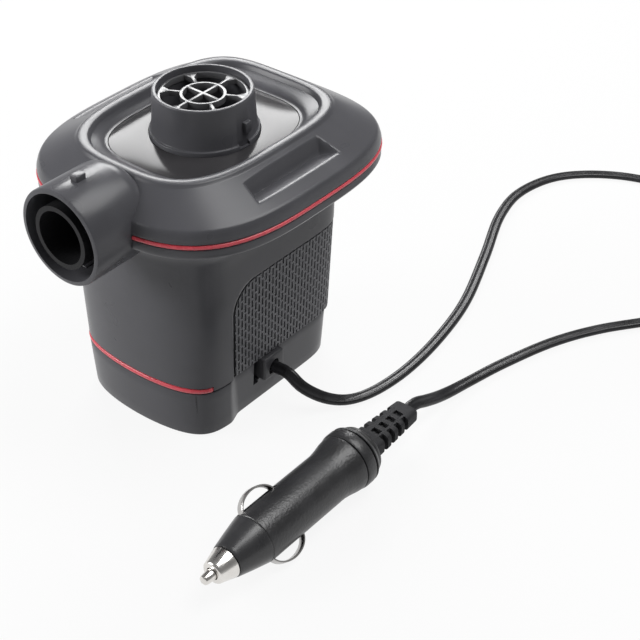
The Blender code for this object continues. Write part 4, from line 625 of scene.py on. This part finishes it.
for side in (1, -1):
    nozzle_lug = slab((-1.9, -68.3, 17.0), (1.9, -63.7, 21.7), 0.0, 0.5)
    flip = 0.0 if side > 0 else math.pi
    carve(lid, moved(nozzle_lug, (0, 0, nozzle_z), flip, "Y"), "UNION")
    port_lug = slab((18.4, -1.9, 119.3), (21.7, 1.9, 123.9), 4 if side > 0 else 184, 0.5)
    carve(lid, port_lug, "UNION")
    port_notch = slab((20.3, -2.6, 114.2), (23.0, 2.6, 116.4), -2 if side > 0 else 178)
    carve(lid, port_notch)
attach(lid, "housing")
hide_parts("top_cover")


# Top panel: a dark acrylic plate with a gloss face, pressed into the dish round the intake port. It is
# flat and polished enough to mirror the port and the light behind it.
plate_gloss = moulded(
    "plate_gloss", (0.030, 0.029, 0.031), (0.036, 0.035, 0.037), (0.12, 0.16),
    grain=500.0, drift=35.0, strength=0.02, depth=0.02, shine=0.13
)
plate_low, plate_top, plate_hole = 112.6, 113.8, 21.9
plate = [circle(plate_hole, plate_low), panel_plan(0.0, plate_low), panel_plan(0.0, 113.55)]
plate += [panel_plan(0.08, 113.72), panel_plan(0.3, plate_top), circle(plate_hole, plate_top)]
panel = piece("gloss_panel", skin(plate, loop=True), plate_gloss)
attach(panel, "housing")
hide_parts("top_panel")


# Intake grille: a finger guard in the mouth of the port, moulded in the lid's dark grey. Its colour here is
# painted a shade lighter than the lid's, a painted highlight that brightens the tops of its bars. An inner
# ring with a cross is carried by six spokes, which widen into gussets at the rim.
# A grey a shade lighter than the lid's: a painted highlight for the bright tops of the bars.
guard_grey_painted_highlight = moulded(
    "guard_grey_painted_highlight", (0.075, 0.075, 0.079), (0.085, 0.085, 0.089), (0.22, 0.28), 2500.0, 80.0, 0.06, shine=0.4
)
low, high = 127.1, 129.5
half_rib = 0.6


def hoop(inner, outer):
    """A ring with its two upper edges rounded."""
    profile = [(inner, low), (outer, low), (outer, high - 0.15), (outer - 0.05, high - 0.04)]
    profile += [(outer - 0.15, high), (inner + 0.15, high), (inner + 0.05, high - 0.04), (inner, high - 0.15)]
    return skin(lathe(profile, 96), loop=True)


def spoke(turn):
    """A rib from the inner ring to the rim, widening into a gusset, with its upper edges rounded."""
    plan = [(8.2, half_rib), (13.2, half_rib), (16.9, 3.1)]
    plan = plan + [(x, -y) for x, y in plan[::-1]]
    c, s = math.cos(turn), math.sin(turn)
    rings = []
    for z, slim in ((low + 0.2, 0.0), (high - 0.17, 0.0), (high - 0.06, 0.05), (high - 0.02, 0.15)):
        at = [(x, y - math.copysign(slim, y)) for x, y in plan]
        rings.append([(x * c - y * s, x * s + y * c, z) for x, y in at])
    return skin(rings)


guard = piece("guard", hoop(16.4, 17.6), guard_grey_painted_highlight)
for k in range(6):
    carve(guard, spoke(math.radians(60 * k + 30)), "UNION")
carve(guard, hoop(7.8, 9.0), "UNION")
for turn in (0, 90):
    cross = slab((-8.3, -half_rib, low + 0.1), (8.3, half_rib, high - 0.02), turn, 0.15)
    carve(guard, cross, "UNION")
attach(guard, "housing")
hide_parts("intake_grille")


# Cord gland: a block moulded in dark grey PVC on the end of the cord, held in the notch of the base. An oval
# recess is sunk round the place where the cord leaves it.
gland_grey = moulded("gland_grey", (0.046, 0.046, 0.050), (0.055, 0.055, 0.060), (0.36, 0.44), shine=0.25)
gland = piece("gland_block", slab((28.5, -8.7, 11.6), (35.3, 3.6, base_top), 0.0, 1.0), gland_grey, 50)
exit_x, exit_y, exit_z = 35.0, -3.0, 16.54
slant = 0.7071
around = full_turn(48)
for deep, grow in ((0.9, 0.9), (8.0, 0.35)):
    wide, thin = (2.7 + grow) * np.cos(around), (1.4 + grow) * np.sin(around)
    y, z = exit_y - (wide - thin) * slant, exit_z - (wide + thin) * slant
    mouth = [np.column_stack([np.full(48, x), y, z]) for x in (35.4 - deep, 38.0)]
    carve(gland, skin(mouth), crease=50)
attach(gland, "housing")
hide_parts("cord_gland")


# Cord: a flat two-core lead in shiny black PVC, 1.8 m long. It leaves the gland, lies along the floor in one
# sweep, is wound into a two-layer coil for storage, and runs back to the plug.
def spaced(points, gap, leave, arrive):
    """Evenly spaced points on a smooth curve with given directions at its two ends."""
    knots = [np.asarray(p, float) for p in points]
    ends = [knots[1] - 2 * np.linalg.norm(knots[1] - knots[0]) * np.asarray(leave)] + knots
    ends.append(knots[-2] + 2 * np.linalg.norm(knots[-1] - knots[-2]) * np.asarray(arrive))
    fine = []
    for a, b, c, d in zip(ends, ends[1:], ends[2:], ends[3:]):
        for t in np.arange(16) / 16:
            bend = (2 * a - 5 * b + 4 * c - d) * t * t + (3 * b - 3 * c + d - a) * t ** 3
            fine.append(b + ((c - a) * t + bend) / 2)
    fine = np.array(fine + [knots[-1]])
    run = np.concatenate([[0.0], np.cumsum(np.linalg.norm(np.diff(fine, axis=0), axis=1))])
    wanted = np.linspace(0, run[-1], max(4, round(run[-1] / gap)) + 1)
    return [np.array([np.interp(s, run, fine[:, axis]) for axis in range(3)]) for s in wanted]


coil = []
coil_x, coil_y, coil_radius, coil_pitch = 137.0, 213.5, 37.5, 5.6
coil_z, layer_rise, coil_tail = 2.3, 2.9, 5.2
per_turn, layer_turns = 36, 3.15
steps = round(layer_turns * per_turn)
for k in range(2 * steps + 1):
    radius = coil_radius - coil_pitch * (steps - abs(k - steps)) / per_turn
    turn = math.pi / 2 - 2 * math.pi * k / per_turn
    climb = float(ease((k - steps) / (per_turn / 2) + 0.5))
    x, y = coil_x + radius * math.cos(turn), coil_y + radius * math.sin(turn)
    coil.append(np.array([x, y, coil_z + layer_rise * climb]))
ahead = (coil[0] - coil[1]) / np.linalg.norm(coil[0] - coil[1])
behind = (coil[-1] - coil[-2]) / np.linalg.norm(coil[-1] - coil[-2])
coil = [coil[0] + ahead * coil_tail] + coil + [coil[-1] + behind * coil_tail]
plug_x, plug_z = 91.8, 12.4
pump_run = [(43.3, exit_y, exit_z), (50, -1.6, 11.6), (57, 5, 5.6), (62.5, 14, 2.2), (66.5, 27, 1.4)]
pump_run += [(68, 47, 1.4), (65.5, 73, 1.4), (59, 102, 1.4), (45.6, 137, 1.4), (31.5, 171, 1.4)]
pump_run += [(27.5, 197, 1.4), (36, 222, 1.4), (60, 241, 1.4), (96, 249.5, 1.8), coil[0] + ahead * coil_tail]
plug_run = [(plug_x, 18.2, plug_z), (92.2, 27, 8.8), (92.2, 40, 4.2), (93.6, 55, 1.9), (97.5, 74, 1.4)]
plug_run += [(105.5, 99.5, 1.4), (116.5, 121, 1.4), (132, 142, 1.5), (150, 164.5, 3.2)]
plug_run += [coil[-1] + behind * coil_tail]
route = [np.array((exit_x, exit_y, exit_z))] + spaced(pump_run, 7.0, (1, 0, 0), -ahead) + coil
route += spaced(plug_run, 7.0, (0, 1, 0), -behind)[::-1]
route += [np.array((plug_x, y, plug_z)) for y in (10.0, -2.0, -14.0)]


def twin_section():
    """Two round cores side by side with a web between them."""
    core, arc = 1.3, np.radians(np.linspace(-125, 125, 13))
    half = [(core + core * math.cos(a), core * math.sin(a)) for a in arc]
    return half + [(-x, -y) for x, y in half]


def sweep(route, section):
    """The section carried along the route, rolled over at the gland and the boot and flat between."""
    rings, gone = [], 0.0
    whole = sum(float(np.linalg.norm(b - a)) for a, b in zip(route, route[1:]))
    for k, place in enumerate(route):
        along = route[min(k + 1, len(route) - 1)] - route[max(k - 1, 0)]
        gone += float(np.linalg.norm(place - route[max(k - 1, 0)]))
        along = along / np.linalg.norm(along)
        across = np.cross(along, (0, 0, 1.0))
        across = across / np.linalg.norm(across)
        up = np.cross(across, along)
        from_gland = 1 - float(ease((gone - 18.0) / 28.0))
        from_boot = 1 - float(ease((whole - gone - 34.0) / 38.0))
        roll = math.pi / 4 * from_gland - 0.85 * from_boot
        c, s = math.cos(roll), math.sin(roll)
        across, up = across * c - up * s, up * c + across * s
        rings.append([place + across * a + up * b for a, b in section])
    return skin(rings)


lead_black = moulded(
    "lead_black", (0.012, 0.012, 0.013), (0.019, 0.019, 0.021), (0.26, 0.36), 900.0, 130.0, 0.06, shine=0.3
)
cord = piece("twin_lead", sweep(through(route, 3), twin_section()), lead_black, 60)
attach(cord, "housing")
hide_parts("cord_pump_stretch", "cord_coil", "cord_plug_stretch")


# Coil tie: a strap of black nylon round the coil's turns. It is drawn tight and closed by a small moulded
# head on top.
strap_black = moulded(
    "strap_black", (0.016, 0.016, 0.017), (0.024, 0.024, 0.026), (0.4, 0.5), 1200.0, 100.0, 0.15
)
near, far, bottom, top = 18.9, 37.5, 0.7, 6.8
half_wide, thick, square = 3.5, 0.6, 0.28


def strap_loop(y, grow):
    """A rounded loop round the coil's section."""
    loop = []
    for a in full_turn(64):
        c, s = math.cos(a), math.sin(a)
        x = (near + far) / 2 + math.copysign(abs(c) ** square, c) * ((far - near) / 2 + grow)
        z = (bottom + top) / 2 + math.copysign(abs(s) ** square, s) * ((top - bottom) / 2 + grow)
        loop.append((x, y, z))
    return loop


corners = ((-half_wide, 0.0), (half_wide, 0.0), (half_wide, thick), (-half_wide, thick))
strap = skin([strap_loop(y, grow) for y, grow in corners], loop=True)
head = slab((24.0, -4.2, 6.9), (31.5, 4.2, 10.4), 0.0, 0.8)
for made in (strap, head):
    moved(made, (coil_x, coil_y, 0), math.radians(210))
tie = carve(piece("coil_strap", strap, strap_black), head, "UNION")
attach(tie, "housing")
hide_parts("coil_tie")


# Plug boot: the strain relief, black PVC moulded over the cord's end. It is flat, tapers towards the cord,
# and staggered pits in its faces and edges let it flex.
def boot_plan(y, share, shrink=0.0):
    """The boot's section at a place along the plug's axis, smaller as the share of its taper grows."""
    wide = 13.4 - 2.8 * share - shrink
    thick = 7.6 - 1.2 * share - shrink
    ring = oval(wide / 2, thick / 2, 5.0, 0.0, full_turn(64))
    return np.column_stack([ring[:, 0] + plug_x, np.full(len(ring), y), ring[:, 1] + plug_z])


boot_black = moulded(
    "boot_black", (0.020, 0.020, 0.022), (0.029, 0.029, 0.031), (0.58, 0.68), 1500.0, 100.0, 0.2, shine=0.15
)
boot_root, boot_length, pit_pitch = -17.0, 30, 4.7
boot_taper = ((0.15, 0.05), (0.3, 0.15), (0.5, 0.4), (0.75, 0.72), (0.97, 1.0))
boot_rings = [boot_plan(boot_root, 0.0, 0.6), boot_plan(-16.6, 0.0)]
boot_rings += [boot_plan(boot_root + boot_length * along, share) for along, share in boot_taper]
boot_rings += [boot_plan(12.6, 1.02, 0.3), boot_plan(13.0, 1.05, 1.0)]
boot = piece("plug_strain_relief", skin(boot_rings), boot_black)
for k in range(4):
    y = 7.0 - pit_pitch * k
    for side in (1, -1):
        deep = sorted((plug_z + side * 1.9, plug_z + side * 7.4))
        carve(boot, slab((plug_x - 1.3, y - 2.5, deep[0]), (plug_x + 2.5, y, deep[1])))
        edge_x = sorted((plug_x + side * 3.5, plug_x + side * 13.0))
        carve(boot, slab((edge_x[0], y - 3.0 - 0.5 * side, 5.0), (edge_x[1], y - 0.6 - 0.5 * side, 20.0)))
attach(boot, "housing")
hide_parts("plug_boot")


# Plug body: the barrel of the accessory plug, black phenolic with a leather-like grain. It tapers to the
# nose, swells into the collar, and has a slot on either side for the earth contacts.
def wrinkle_grain():
    """Coarse leather-like grain: cells with soft valleys between them."""
    tree, given, out = node_group(
        "wrinkle_grain", [("Cell size", "NodeSocketFloat", 900.0)], [("Height", "NodeSocketFloat")]
    )
    place = tree.nodes.new("ShaderNodeTexCoord")
    warp = tree.nodes.new("ShaderNodeTexNoise")
    warp.inputs["Scale"].default_value = 400.0
    cells = tree.nodes.new("ShaderNodeTexVoronoi")
    cells.feature = "SMOOTH_F1"
    push = tree.nodes.new("ShaderNodeVectorMath")
    push.operation = "MULTIPLY_ADD"
    push.inputs[1].default_value = (0.0012, 0.0012, 0.0012)
    tree.links.new(place.outputs["Object"], warp.inputs["Vector"])
    tree.links.new(warp.outputs["Color"], push.inputs[0])
    tree.links.new(place.outputs["Object"], push.inputs[2])
    tree.links.new(push.outputs["Vector"], cells.inputs["Vector"])
    tree.links.new(given.outputs["Cell size"], cells.inputs["Scale"])
    tree.links.new(cells.outputs["Distance"], out.inputs["Height"])
    return tree


wrinkle_group = wrinkle_grain()


def phenolic(name, cell, strength, gloss):
    """Black phenolic with a leather-like grain of a given cell size."""
    made = moulded(name, (0.018, 0.018, 0.019), (0.025, 0.025, 0.027), gloss, 2500.0, 110.0)
    tree = made.node_tree
    leather = tree.nodes.new("ShaderNodeGroup")
    leather.node_tree = wrinkle_group
    leather.inputs["Cell size"].default_value = cell
    relief(tree, tree.nodes["Principled BSDF"], leather.outputs["Height"], strength, 0.12)
    return made


plug_grained = phenolic("plug_grained", 1100.0, 0.7, (0.34, 0.40))
plug_smooth = moulded(
    "plug_smooth", (0.024, 0.024, 0.026), (0.031, 0.031, 0.033), (0.26, 0.32), 2600.0, 110.0, 0.08
)
barrel_radius, taper_end = 10.4, -81.2


def on_plug(profile, sides, loop=False):
    """A profile of (radius, distance along +Y) pairs turned about the plug's axis."""
    return skin(laid(lathe(profile, sides), plug_x, plug_z), loop)


barrel = [(6.3, -95.2), (6.75, -95.1), (6.95, -94.75)]
barrel += through([barrel[-1], (8.65, -88.0), (10.15, -81.4)], 8)[1:]
barrel += [(10.05, -81.15), (10.05, -80.9), (10.3, -80.6)]
barrel += [(barrel_radius, y) for y in (-79.0, -60.0, -44.0)]
barrel += through([(barrel_radius, -38.0), (10.9, -34.5), (11.7, -30.5), (11.95, -28.4)], 6)
barrel += [(11.85, -28.1), (11.6, -28.0)]
plug = piece("plug_barrel", on_plug(barrel, 112), plug_grained)


def rolled(made, side):
    """Stands a shape drawn along +X out of the plug's axis at the roll of its side contacts."""
    turn = math.radians(45 + (0 if side > 0 else 180))
    return moved(made, (plug_x, 0, plug_z), turn, "Y")


for side in (1, -1):
    carve(plug, rolled(slab((4.9, -80.6, -2.0), (13.0, -60.4, 2.0)), side))
carve(plug, on_plug([(3.4, -97.0), (3.4, -55.4)], 48))
plug.data.materials.append(plug_smooth)
for face in plug.data.polygons:
    face.material_index = int(face.center.y < taper_end * mm)
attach(plug, "housing")
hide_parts("plug_body")


# Plug collar and end disc: the rear cap of the plug, screwed on against a fine seam, and the disc that is
# snapped into it and holds the strain relief. Both are black phenolic, and a groove parts off a bevelled lip.
collar_radius, groove_radius, lip_radius = 12.4, 10.9, 12.2
collar = [(11.7, -27.7), (12.05, -27.6), (12.25, -27.2), (collar_radius, -26.4), (collar_radius, -23.2)]
collar += [(12.3, -22.9), (12.0, -22.75), (groove_radius, -22.7), (groove_radius, -22.0), (12.0, -21.95)]
collar += [(lip_radius, -21.8), (lip_radius, -21.5), (11.1, -19.8), (10.8, -19.6)]
cap = piece("plug_cap", on_plug(collar, 112), plug_grained, 24)
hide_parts("plug_collar")
disc = [(10.6, -19.3), (10.6, -18.4), (10.3, -17.7), (9.6, -17.3)]
end = piece("plug_disc", on_plug(disc, 112), plug_grained)
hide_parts("plug_end_disc")
for made in (cap, end):
    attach(made, "housing")


# Nose ring: the screwed metal nose of the plug, turned from brass and nickel plated. It tapers to a rounded
# end, and the sprung centre contact comes through it.
nickel_plate = metal("nickel_plate", (0.66, 0.64, 0.61), (0.76, 0.74, 0.71), (0.14, 0.24))
nose = [(2.6, -102.9), (3.7, -102.9), (4.25, -102.75), (4.6, -102.4), (4.75, -101.8)]
nose += [(6.55, -95.8), (6.5, -95.5), (2.6, -95.5)]
ring = piece("nose_turned", on_plug(nose, 96, loop=True), nickel_plate)
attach(ring, "housing")
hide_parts("nose_ring")


# Centre contact: the plug's sprung tip, a turned brass pin with a domed end, nickel plated. It slides in
# the nose ring and presses on the fuse behind it.
pin_radius, head_radius, head_front = 2.3, 3.3, -94.9
pin = [(0.35, -107.85), (1.2, -107.75), (1.75, -107.4), (2.0, -106.8), (pin_radius, -104.0)]
pin += [(pin_radius, head_front), (head_radius, head_front), (head_radius, -92.2)]
tip = piece("tip_pin", on_plug(pin, 64), nickel_plate)
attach(tip, "plug_tip")
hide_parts("centre_contact")


# Side contacts: two strips of spring steel, nickel plated, bowed out of the barrel's slots. They press on the
# wall of the socket and give with it.
spring_nickel = metal("spring_nickel", (0.44, 0.43, 0.42), (0.54, 0.53, 0.52), (0.26, 0.36))
bow_foot, bow_y, bow_rise, bow_half = 8.8, -70.5, 6.4, 9.0
strip_half = [(0.0, -1.45), (-0.12, -1.7), (-0.68, -1.7), (-0.8, -1.45)]
strip_section = [(0.0, 1.45)] + strip_half + [(grow, -wide) for grow, wide in strip_half[:0:-1]]
for name, side in (("side_contact_a", 1), ("side_contact_b", -1)):
    rings = []
    for a in np.linspace(0, math.pi, 40):
        rings.append([])
        for grow, wide in strip_section:
            x, y = bow_foot + (bow_rise + grow) * math.sin(a), bow_y - (bow_half + grow) * math.cos(a)
            rings[-1].append((x, y, wide))
    contact = piece(f"spring_{name[-1]}", rolled(skin(rings), side), spring_nickel, 40)
    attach(contact, name)
    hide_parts(name)


# Contact spring: a coil of bare steel wire between the fuse and the back of the plug's bore. It pushes the
# fuse and the centre contact forward, and closes up as the plug is pressed into a socket.
bare_steel = metal("bare_steel", (0.42, 0.42, 0.43), (0.52, 0.52, 0.53), (0.28, 0.38))
front, back = (np.array(corner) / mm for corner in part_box("contact_spring"))
wire, coils, per_coil = 0.35, 6, 24
coil_reach = (back[0] - front[0]) / 2 - wire
around = full_turn(10)
wire_rings = []
along = np.array([0.0, 1.0, 0.0])
for k in range(coils * per_coil + 1):
    turn = 2 * math.pi * k / per_coil
    out = np.array([math.cos(turn), 0.0, math.sin(turn)])
    y = front[1] + wire + (back[1] - front[1] - 2 * wire) * k / (coils * per_coil)
    place = np.array([(front[0] + back[0]) / 2, y, (front[2] + back[2]) / 2]) + out * coil_reach
    wire_rings.append([place + (out * math.cos(a) + along * math.sin(a)) * wire for a in around])
pusher = piece("tip_spring", skin(wire_rings), bare_steel, 60)
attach(pusher, "housing")
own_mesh(pusher)
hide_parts("contact_spring")


# Inside: the fan, its casing, the brushed motor with its leads, and the fuse in the plug. Little of them is
# seen, and they keep the shapes of the frame with the finish of the real materials. The casing's black is
# deepened with painted shade so that the inside of the port reads dark.
pvc_black = moulded(
    "pvc_black", (0.020, 0.020, 0.022), (0.028, 0.028, 0.031), (0.50, 0.60), 1600.0, 100.0, 0.15, shine=0.15
)
# Black plastic darkened past its own tone: painted shade for the inside of the port.
casing_black_painted_shade = moulded(
    "casing_black_painted_shade", (0.008, 0.008, 0.009), (0.012, 0.012, 0.013), (0.46, 0.56), 2000.0, 80.0, 0.1, shine=0.15
)
winding_copper = metal("winding_copper", (0.60, 0.26, 0.12), (0.72, 0.34, 0.17), (0.30, 0.42), 1500.0, 0.2)
pressed_brass = metal("pressed_brass", (0.62, 0.46, 0.20), (0.72, 0.55, 0.26), (0.26, 0.36))
sintered_bronze = metal("sintered_bronze", (0.40, 0.28, 0.15), (0.50, 0.36, 0.20), (0.42, 0.52), 3000.0, 0.2)
magnet_ferrite = moulded(
    "magnet_ferrite", (0.060, 0.060, 0.064), (0.085, 0.085, 0.09), (0.62, 0.72), 2500.0, 120.0, 0.2
)
brush_carbon = moulded(
    "brush_carbon", (0.035, 0.035, 0.036), (0.05, 0.05, 0.052), (0.5, 0.62), 2500.0, 120.0, 0.2
)
finishes = {
    casing_black_painted_shade: ("volute_casing", "inlet_plate", "impeller", "motor_end_cap"),
    pvc_black: ("motor_cushion", "lead_a", "lead_b"),
    bare_steel: ("motor_shaft", "armature_stack"),
    zinc_plate: ("motor_can",),
    nickel_plate: ("fuse",),
    winding_copper: ("armature_windings", "commutator"),
    pressed_brass: ("terminal_a", "terminal_b"),
    sintered_bronze: ("front_bearing", "rear_bearing"),
    magnet_ferrite: ("magnet_a", "magnet_b"),
    brush_carbon: ("brush_a", "brush_b"),
}
for finish, names in finishes.items():
    for name in names:
        nodes[name].data.materials.clear()
        nodes[name].data.materials.append(finish)


# Studio: a pale seamless floor, three soft boxes and a pale surround. The floor reads as white to the eye
# and in reflections, and it keeps a faint shadow of the pump.
def white_when_seen(tree):
    """One for camera, glossy and transmission rays, zero for the light that the floor sends back."""
    path = tree.nodes.new("ShaderNodeLightPath")
    total = path.outputs["Is Camera Ray"]
    for label in ("Is Glossy Ray", "Is Transmission Ray"):
        both = tree.nodes.new("ShaderNodeMath")
        both.operation = "MAXIMUM"
        tree.links.new(total, both.inputs[0])
        tree.links.new(path.outputs[label], both.inputs[1])
        total = both.outputs[0]
    return total


floor_white, tree, shader = shader_of("floor_white")
shader.inputs["Base Color"].default_value = (0.52, 0.52, 0.52, 1.0)
shader.inputs["Roughness"].default_value = 0.9
shader.inputs["Specular IOR Level"].default_value = 0.0
seen = white_when_seen(tree)
glow = tree.nodes.new("ShaderNodeEmission")
glow.inputs["Color"].default_value = (1.0, 1.0, 1.0, 1.0)
blend = tree.nodes.new("ShaderNodeMixShader")
share = tree.nodes.new("ShaderNodeMath")
share.operation = "MULTIPLY"
share.inputs[1].default_value = 0.9
tree.links.new(seen, share.inputs[0])
tree.links.new(share.outputs[0], blend.inputs["Fac"])
tree.links.new(shader.outputs["BSDF"], blend.inputs[1])
tree.links.new(glow.outputs["Emission"], blend.inputs[2])
tree.links.new(blend.outputs["Shader"], tree.nodes["Material Output"].inputs["Surface"])
ground = bmesh.new()
bmesh.ops.create_circle(ground, cap_ends=True, segments=96, radius=3.0)
floor = piece("floor", ground, floor_white)
floor.location.z = -0.0002
floor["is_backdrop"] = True

world = bpy.data.worlds.new("surround")
bpy.context.scene.world = world
world.use_nodes = True
tree = world.node_tree
backdrop = tree.nodes["Background"]
backdrop.inputs["Color"].default_value = (1.0, 1.0, 1.0, 1.0)
place = tree.nodes.new("ShaderNodeTexCoord")
height = tree.nodes.new("ShaderNodeSeparateXYZ")
tree.links.new(place.outputs["Generated"], height.inputs["Vector"])
level = spread(tree, height.outputs["Z"], 0.36, 0.22, 0.05, 0.4)
level.node.interpolation_type = "SMOOTHSTEP"
tree.links.new(level, backdrop.inputs["Strength"])


def soft_box(name, place, aim, size, power):
    """A rectangular lamp that faces its aim."""
    lamp = bpy.data.lights.new(name, "AREA")
    lamp.shape = "RECTANGLE"
    lamp.size, lamp.size_y = size
    lamp.energy = power
    held = bpy.data.objects.new(name, lamp)
    held.location = place
    held.rotation_euler = (Vector(aim) - Vector(place)).to_track_quat("-Z", "Y").to_euler()
    bpy.context.scene.collection.objects.link(held)


soft_box("back_box", (-0.552, 0.572, 0.62), (0.0, 0.0, 0.12), (0.56, 0.34), 8.5)
soft_box("right_box", (0.3, 0.27, 1.0), (0.0, 0.0, 0.1), (0.6, 0.6), 9.0)
soft_box("front_box", (-0.75, -0.8, 0.55), (0.0, 0.0, 0.06), (0.6, 0.6), 13.5)


# Camera: stands where the photograph was taken from, to the right of the nozzle and above the lid. Its place
# and lens were fitted to the round edges of the port and the nozzle.
lens = bpy.data.cameras.new("viewpoint")
lens.lens = 87.03
lens.sensor_width = 36.0
camera = bpy.data.objects.new("viewpoint", lens)
place, aim = Vector((0.364614, -0.377569, 0.411596)), Vector((0.060939, -0.00448, 0.053007))
camera.matrix_world = Matrix.LocRotScale(place, (aim - place).to_track_quat("-Z", "Y"), None)
bpy.context.scene.collection.objects.link(camera)
bpy.context.scene.camera = camera
bpy.context.scene.view_settings.view_transform = "Standard"

low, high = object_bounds()
